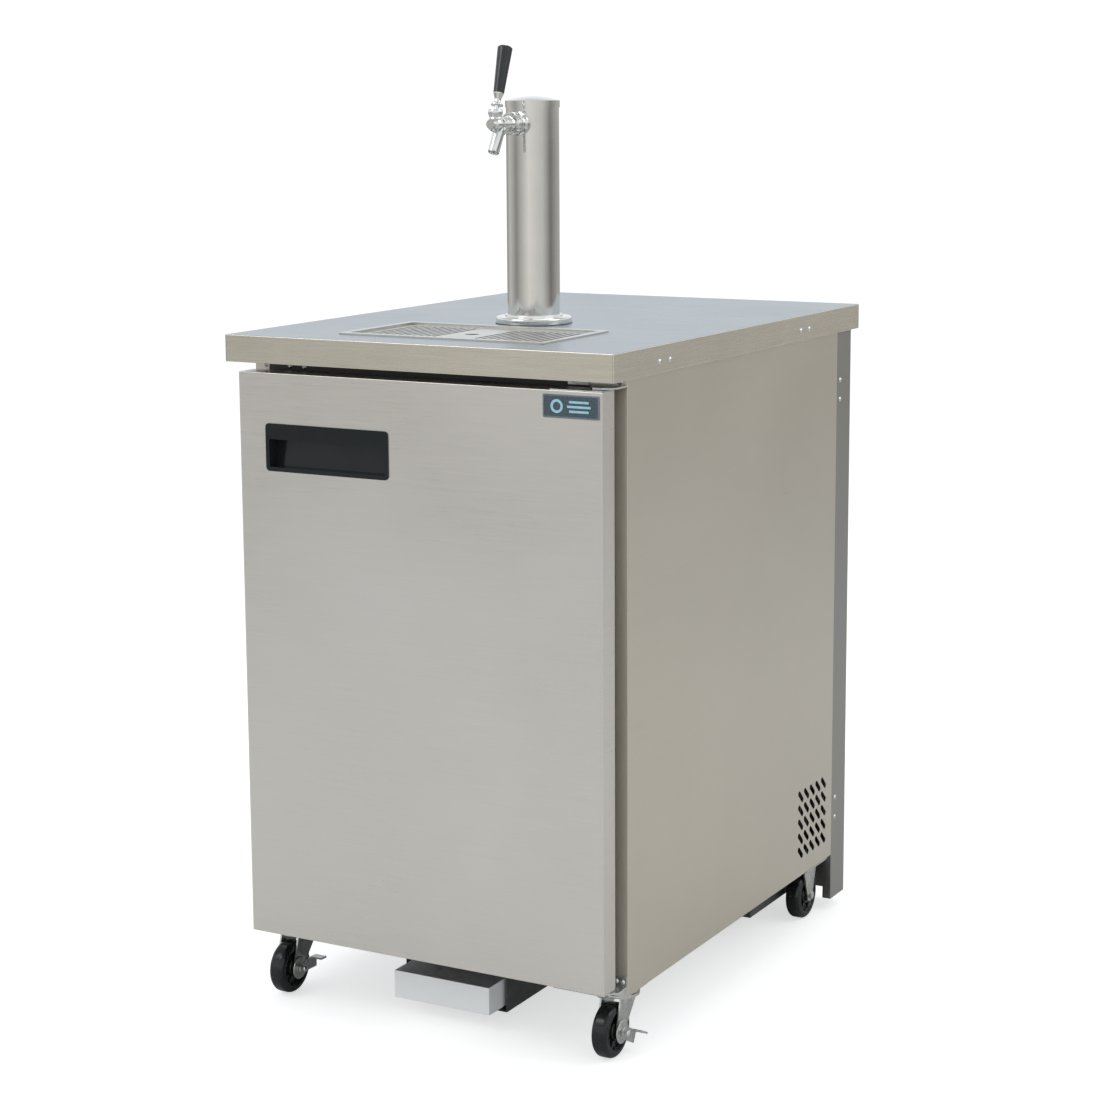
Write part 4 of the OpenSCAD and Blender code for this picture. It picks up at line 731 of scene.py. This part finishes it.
SPOKES = 6
for node in ("wheel_front_right", "wheel_front_left", "wheel_rear_right", "wheel_rear_left"):
    lo, hi = box_mm(node)
    centre = [(lo[i] + hi[i]) / 2 for i in range(3)]
    body = NODES[node]["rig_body"]
    half, r = (hi[0] - lo[0]) / 2, (hi[2] - lo[2]) / 2
    trim = Shape()
    for s in (-1, 1):
        face = s * half
        # Raised band on the sidewall and the hub's boss
        trim.lathe([(r - 10.6, face - s * 2), (r - 10.4, face + s * 0.3), (r - 9.8, face + s * 0.5),
                    (r - 8.2, face + s * 0.45), (r - 7.6, face - s * 2)], centre, "X", 72)
        trim.lathe([(11.2, face - s * 7), (11.2, face - s * 1.2), (13.2, face - s * 1.2), (14.4, face - s * 3),
                    (14.8, face - s * 7)], centre, "X", 48)
        for k in range(SPOKES):
            a = 2 * math.pi * k / SPOKES
            d, t = Vector((0, math.cos(a), math.sin(a))), Vector((0, -math.sin(a), math.cos(a)))
            c = Vector(centre)
            x_in, x_out = face - s * 6.6, face - s * 3.4
            quad = [c + d * 13 + t * 1.5, c + d * 13 - t * 1.5,
                    c + d * (r - 10.2) - t * 1.5, c + d * (r - 10.2) + t * 1.5]
            trim.prism([q + Vector((x_in, 0, 0)) for q in quad], Vector((x_out - x_in, 0, 0)))
    trim.piece(node + "_trim", body, "wheel_rubber", 0.3)

# Ball race of each swivel castor, between the plate and the crown
CASTER_X = 265.0
races = Shape()
for side, sign in (("right", 1), ("left", -1)):
    _, hi = box_mm("caster_fork_" + side)
    cy, crown = hi[1] - 28.0, hi[2]
    races.lathe([(19, crown + 0.1), (24.5, crown + 0.1), (27.4, crown + 0.9), (27.9, crown + 1.8),
                 (27.0, crown + 2.6), (19, crown + 2.6)], (sign * CASTER_X, cy, 0), n=64)
races.piece("caster_races", "cabinet", "zinc")

# Domed end over each front axle's head
for side in ("right", "left"):
    _, hi = box_mm("caster_fork_" + side)
    wl, wh = box_mm("wheel_front_" + side)
    cy, cz = (wl[1] + wh[1]) / 2, (wl[2] + wh[2]) / 2
    cap = Shape()
    cap.lathe([(0.01, hi[0] - 0.6), (4.6, hi[0] - 0.6), (4.3, hi[0] + 0.6), (3.2, hi[0] + 1.3), (0.01, hi[0] + 1.6)],
              (0, cy, cz), "X", 32)
    cap.piece("axle_end_" + side, NODES["caster_fork_" + side]["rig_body"], "screw_zinc")

# ---------------------------------------------------------------- stage, light, camera

# The floor glows for camera rays only: it reads as white, and the steel mirrors its mid grey
FLOOR_R = 6.0
FLOOR_GLOW = 0.62
FLOOR_SIDES = 96
floor_mesh = bpy.data.meshes.new("floor")
around = [2 * math.pi * i / FLOOR_SIDES for i in range(FLOOR_SIDES)]
floor_mesh.from_pydata([(0, 0, 0)] + [(FLOOR_R * math.cos(a), FLOOR_R * math.sin(a), 0) for a in around], [],
                       [(0, 1 + i, 1 + (i + 1) % FLOOR_SIDES) for i in range(FLOOR_SIDES)])
floor = bpy.data.objects.new("floor", floor_mesh)
bpy.context.scene.collection.objects.link(floor)
floor.location.z = -0.0005
pale = Look("floor_pale", Roughness=0.9)
pale.colour(pale.ramp(pale.noise(1.5, 2.0), (0.3, (0.62, 0.62, 0.61)), (0.7, (0.64, 0.64, 0.63))))
seen = pale.new("ShaderNodeLightPath")
glow = pale.new("ShaderNodeMath", operation="MULTIPLY")
pale.link(seen.outputs["Is Camera Ray"], glow.inputs[0])
glow.inputs[1].default_value = FLOOR_GLOW
pale.bsdf.inputs["Emission Color"].default_value = (1.0, 1.0, 1.0, 1.0)
pale.link(glow.outputs[0], pale.bsdf.inputs["Emission Strength"])
floor_mesh.materials.append(pale.mat)

world = bpy.data.worlds.new("studio")
bpy.context.scene.world = world
world.use_nodes = True
tree = world.node_tree
tree.nodes.clear()


def wnode(kind, **values):
    node = tree.nodes.new(kind)
    for key, value in values.items():
        setattr(node, key, value)
    return node


def wmath(op, a, b=0.0):
    node = wnode("ShaderNodeMath", operation=op)
    for i, v in enumerate((a, b)):
        if isinstance(v, (int, float)):
            node.inputs[i].default_value = v
        else:
            tree.links.new(v, node.inputs[i])
    return node.outputs[0]


tex = wnode("ShaderNodeTexCoord")
split = wnode("ShaderNodeSeparateXYZ")
tree.links.new(tex.outputs["Generated"], split.inputs[0])
angle = wmath("ARCTAN2", split.outputs["Y"], split.outputs["X"])
# A plain studio horizon, two light sides and two dark ones: azimuth in degrees and brightness
BANDS = ((-180, 0.6), (-140, 0.3), (-80, 0.8), (-20, 0.6), (20, 0.2), (60, 0.4), (120, 0.5), (140, 0.3), (180, 0.6))
turn = wmath("ADD", wmath("DIVIDE", angle, 2 * math.pi), 0.5)
ramp = wnode("ShaderNodeValToRGB")
while len(ramp.color_ramp.elements) < len(BANDS):
    ramp.color_ramp.elements.new(0.5)
for element, (azimuth, level) in zip(ramp.color_ramp.elements, BANDS):
    element.position = azimuth / 360 + 0.5
    element.color = (level, level * 0.985, level * 0.95, 1)
tree.links.new(turn, ramp.inputs[0])
near = wnode("ShaderNodeMapRange", interpolation_type="SMOOTHSTEP")
for key, value in zip(("From Min", "From Max", "To Min", "To Max"), (-0.03, 0.1, 1.0, 0.0)):
    near.inputs[key].default_value = value
tree.links.new(split.outputs["Z"], near.inputs["Value"])
mix = wnode("ShaderNodeMix", data_type="RGBA")
tree.links.new(near.outputs["Result"], mix.inputs[0])
high = wnode("ShaderNodeMapRange", interpolation_type="SMOOTHSTEP")
for key, value in zip(("From Min", "From Max", "To Min", "To Max"), (0.3, 0.75, 0.0, 1.0)):
    high.inputs[key].default_value = value
tree.links.new(split.outputs["Z"], high.inputs["Value"])
sky = wnode("ShaderNodeMix", data_type="RGBA")
tree.links.new(high.outputs["Result"], sky.inputs[0])
sky.inputs[6].default_value = (0.92, 0.97, 1.02, 1)
sky.inputs[7].default_value = (0.5, 0.53, 0.56, 1)
tree.links.new(sky.outputs[2], mix.inputs[6])
tree.links.new(ramp.outputs["Color"], mix.inputs[7])
studio = wnode("ShaderNodeBackground")
tree.links.new(mix.outputs[2], studio.inputs["Color"])
studio.inputs["Strength"].default_value = 1.0
white = wnode("ShaderNodeBackground")
white.inputs["Color"].default_value = (1, 1, 1, 1)
white.inputs["Strength"].default_value = 1.05
path = wnode("ShaderNodeLightPath")
pick = wnode("ShaderNodeMixShader")
tree.links.new(path.outputs["Is Camera Ray"], pick.inputs[0])
tree.links.new(studio.outputs[0], pick.inputs[1])
tree.links.new(white.outputs[0], pick.inputs[2])
out = wnode("ShaderNodeOutputWorld")
tree.links.new(pick.outputs[0], out.inputs["Surface"])


def area(name, place, target, size, watts, colour=(1, 1, 1)):
    data = bpy.data.lights.new(name, "AREA")
    data.shape = "DISK"
    data.size = size
    data.energy = watts
    data.color = colour
    lamp = bpy.data.objects.new(name, data)
    bpy.context.scene.collection.objects.link(lamp)
    lamp.location = place
    lamp.rotation_mode = "QUATERNION"
    lamp.rotation_quaternion = (Vector(target) - Vector(place)).to_track_quat("-Z", "Y")


area("key", (-1.6, -2.6, 3.6), (0, 0, 0.5), 2.4, 38)
area("fill", (2.8, 0.6, 3.0), (0, 0, 0.4), 2.2, 20, (1.0, 0.98, 0.95))
area("top", (0.2, 0.4, 4.2), (0, 0, 0.9), 2.6, 26)

camera = bpy.data.objects.new("camera", bpy.data.cameras.new("camera"))
bpy.context.scene.collection.objects.link(camera)
right, up, back = ((0.8750640, 0.4839713, -0.0058959), (-0.0731649, 0.1443105, 0.9868238),
                   (0.4784453, -0.8631027, 0.1616907))
camera.matrix_world = Matrix.Translation((1.7506489, -3.1931944, 1.3019934)) @ Matrix(
    (right, up, back)).transposed().to_4x4()
camera.data.lens = 80.82
camera.data.sensor_width = 36.0
camera.data.shift_y = -0.05
camera.data.clip_end = 60.0
bpy.context.scene.camera = camera
bpy.context.scene.view_settings.view_transform = "Standard"

bpy.context.view_layer.update()
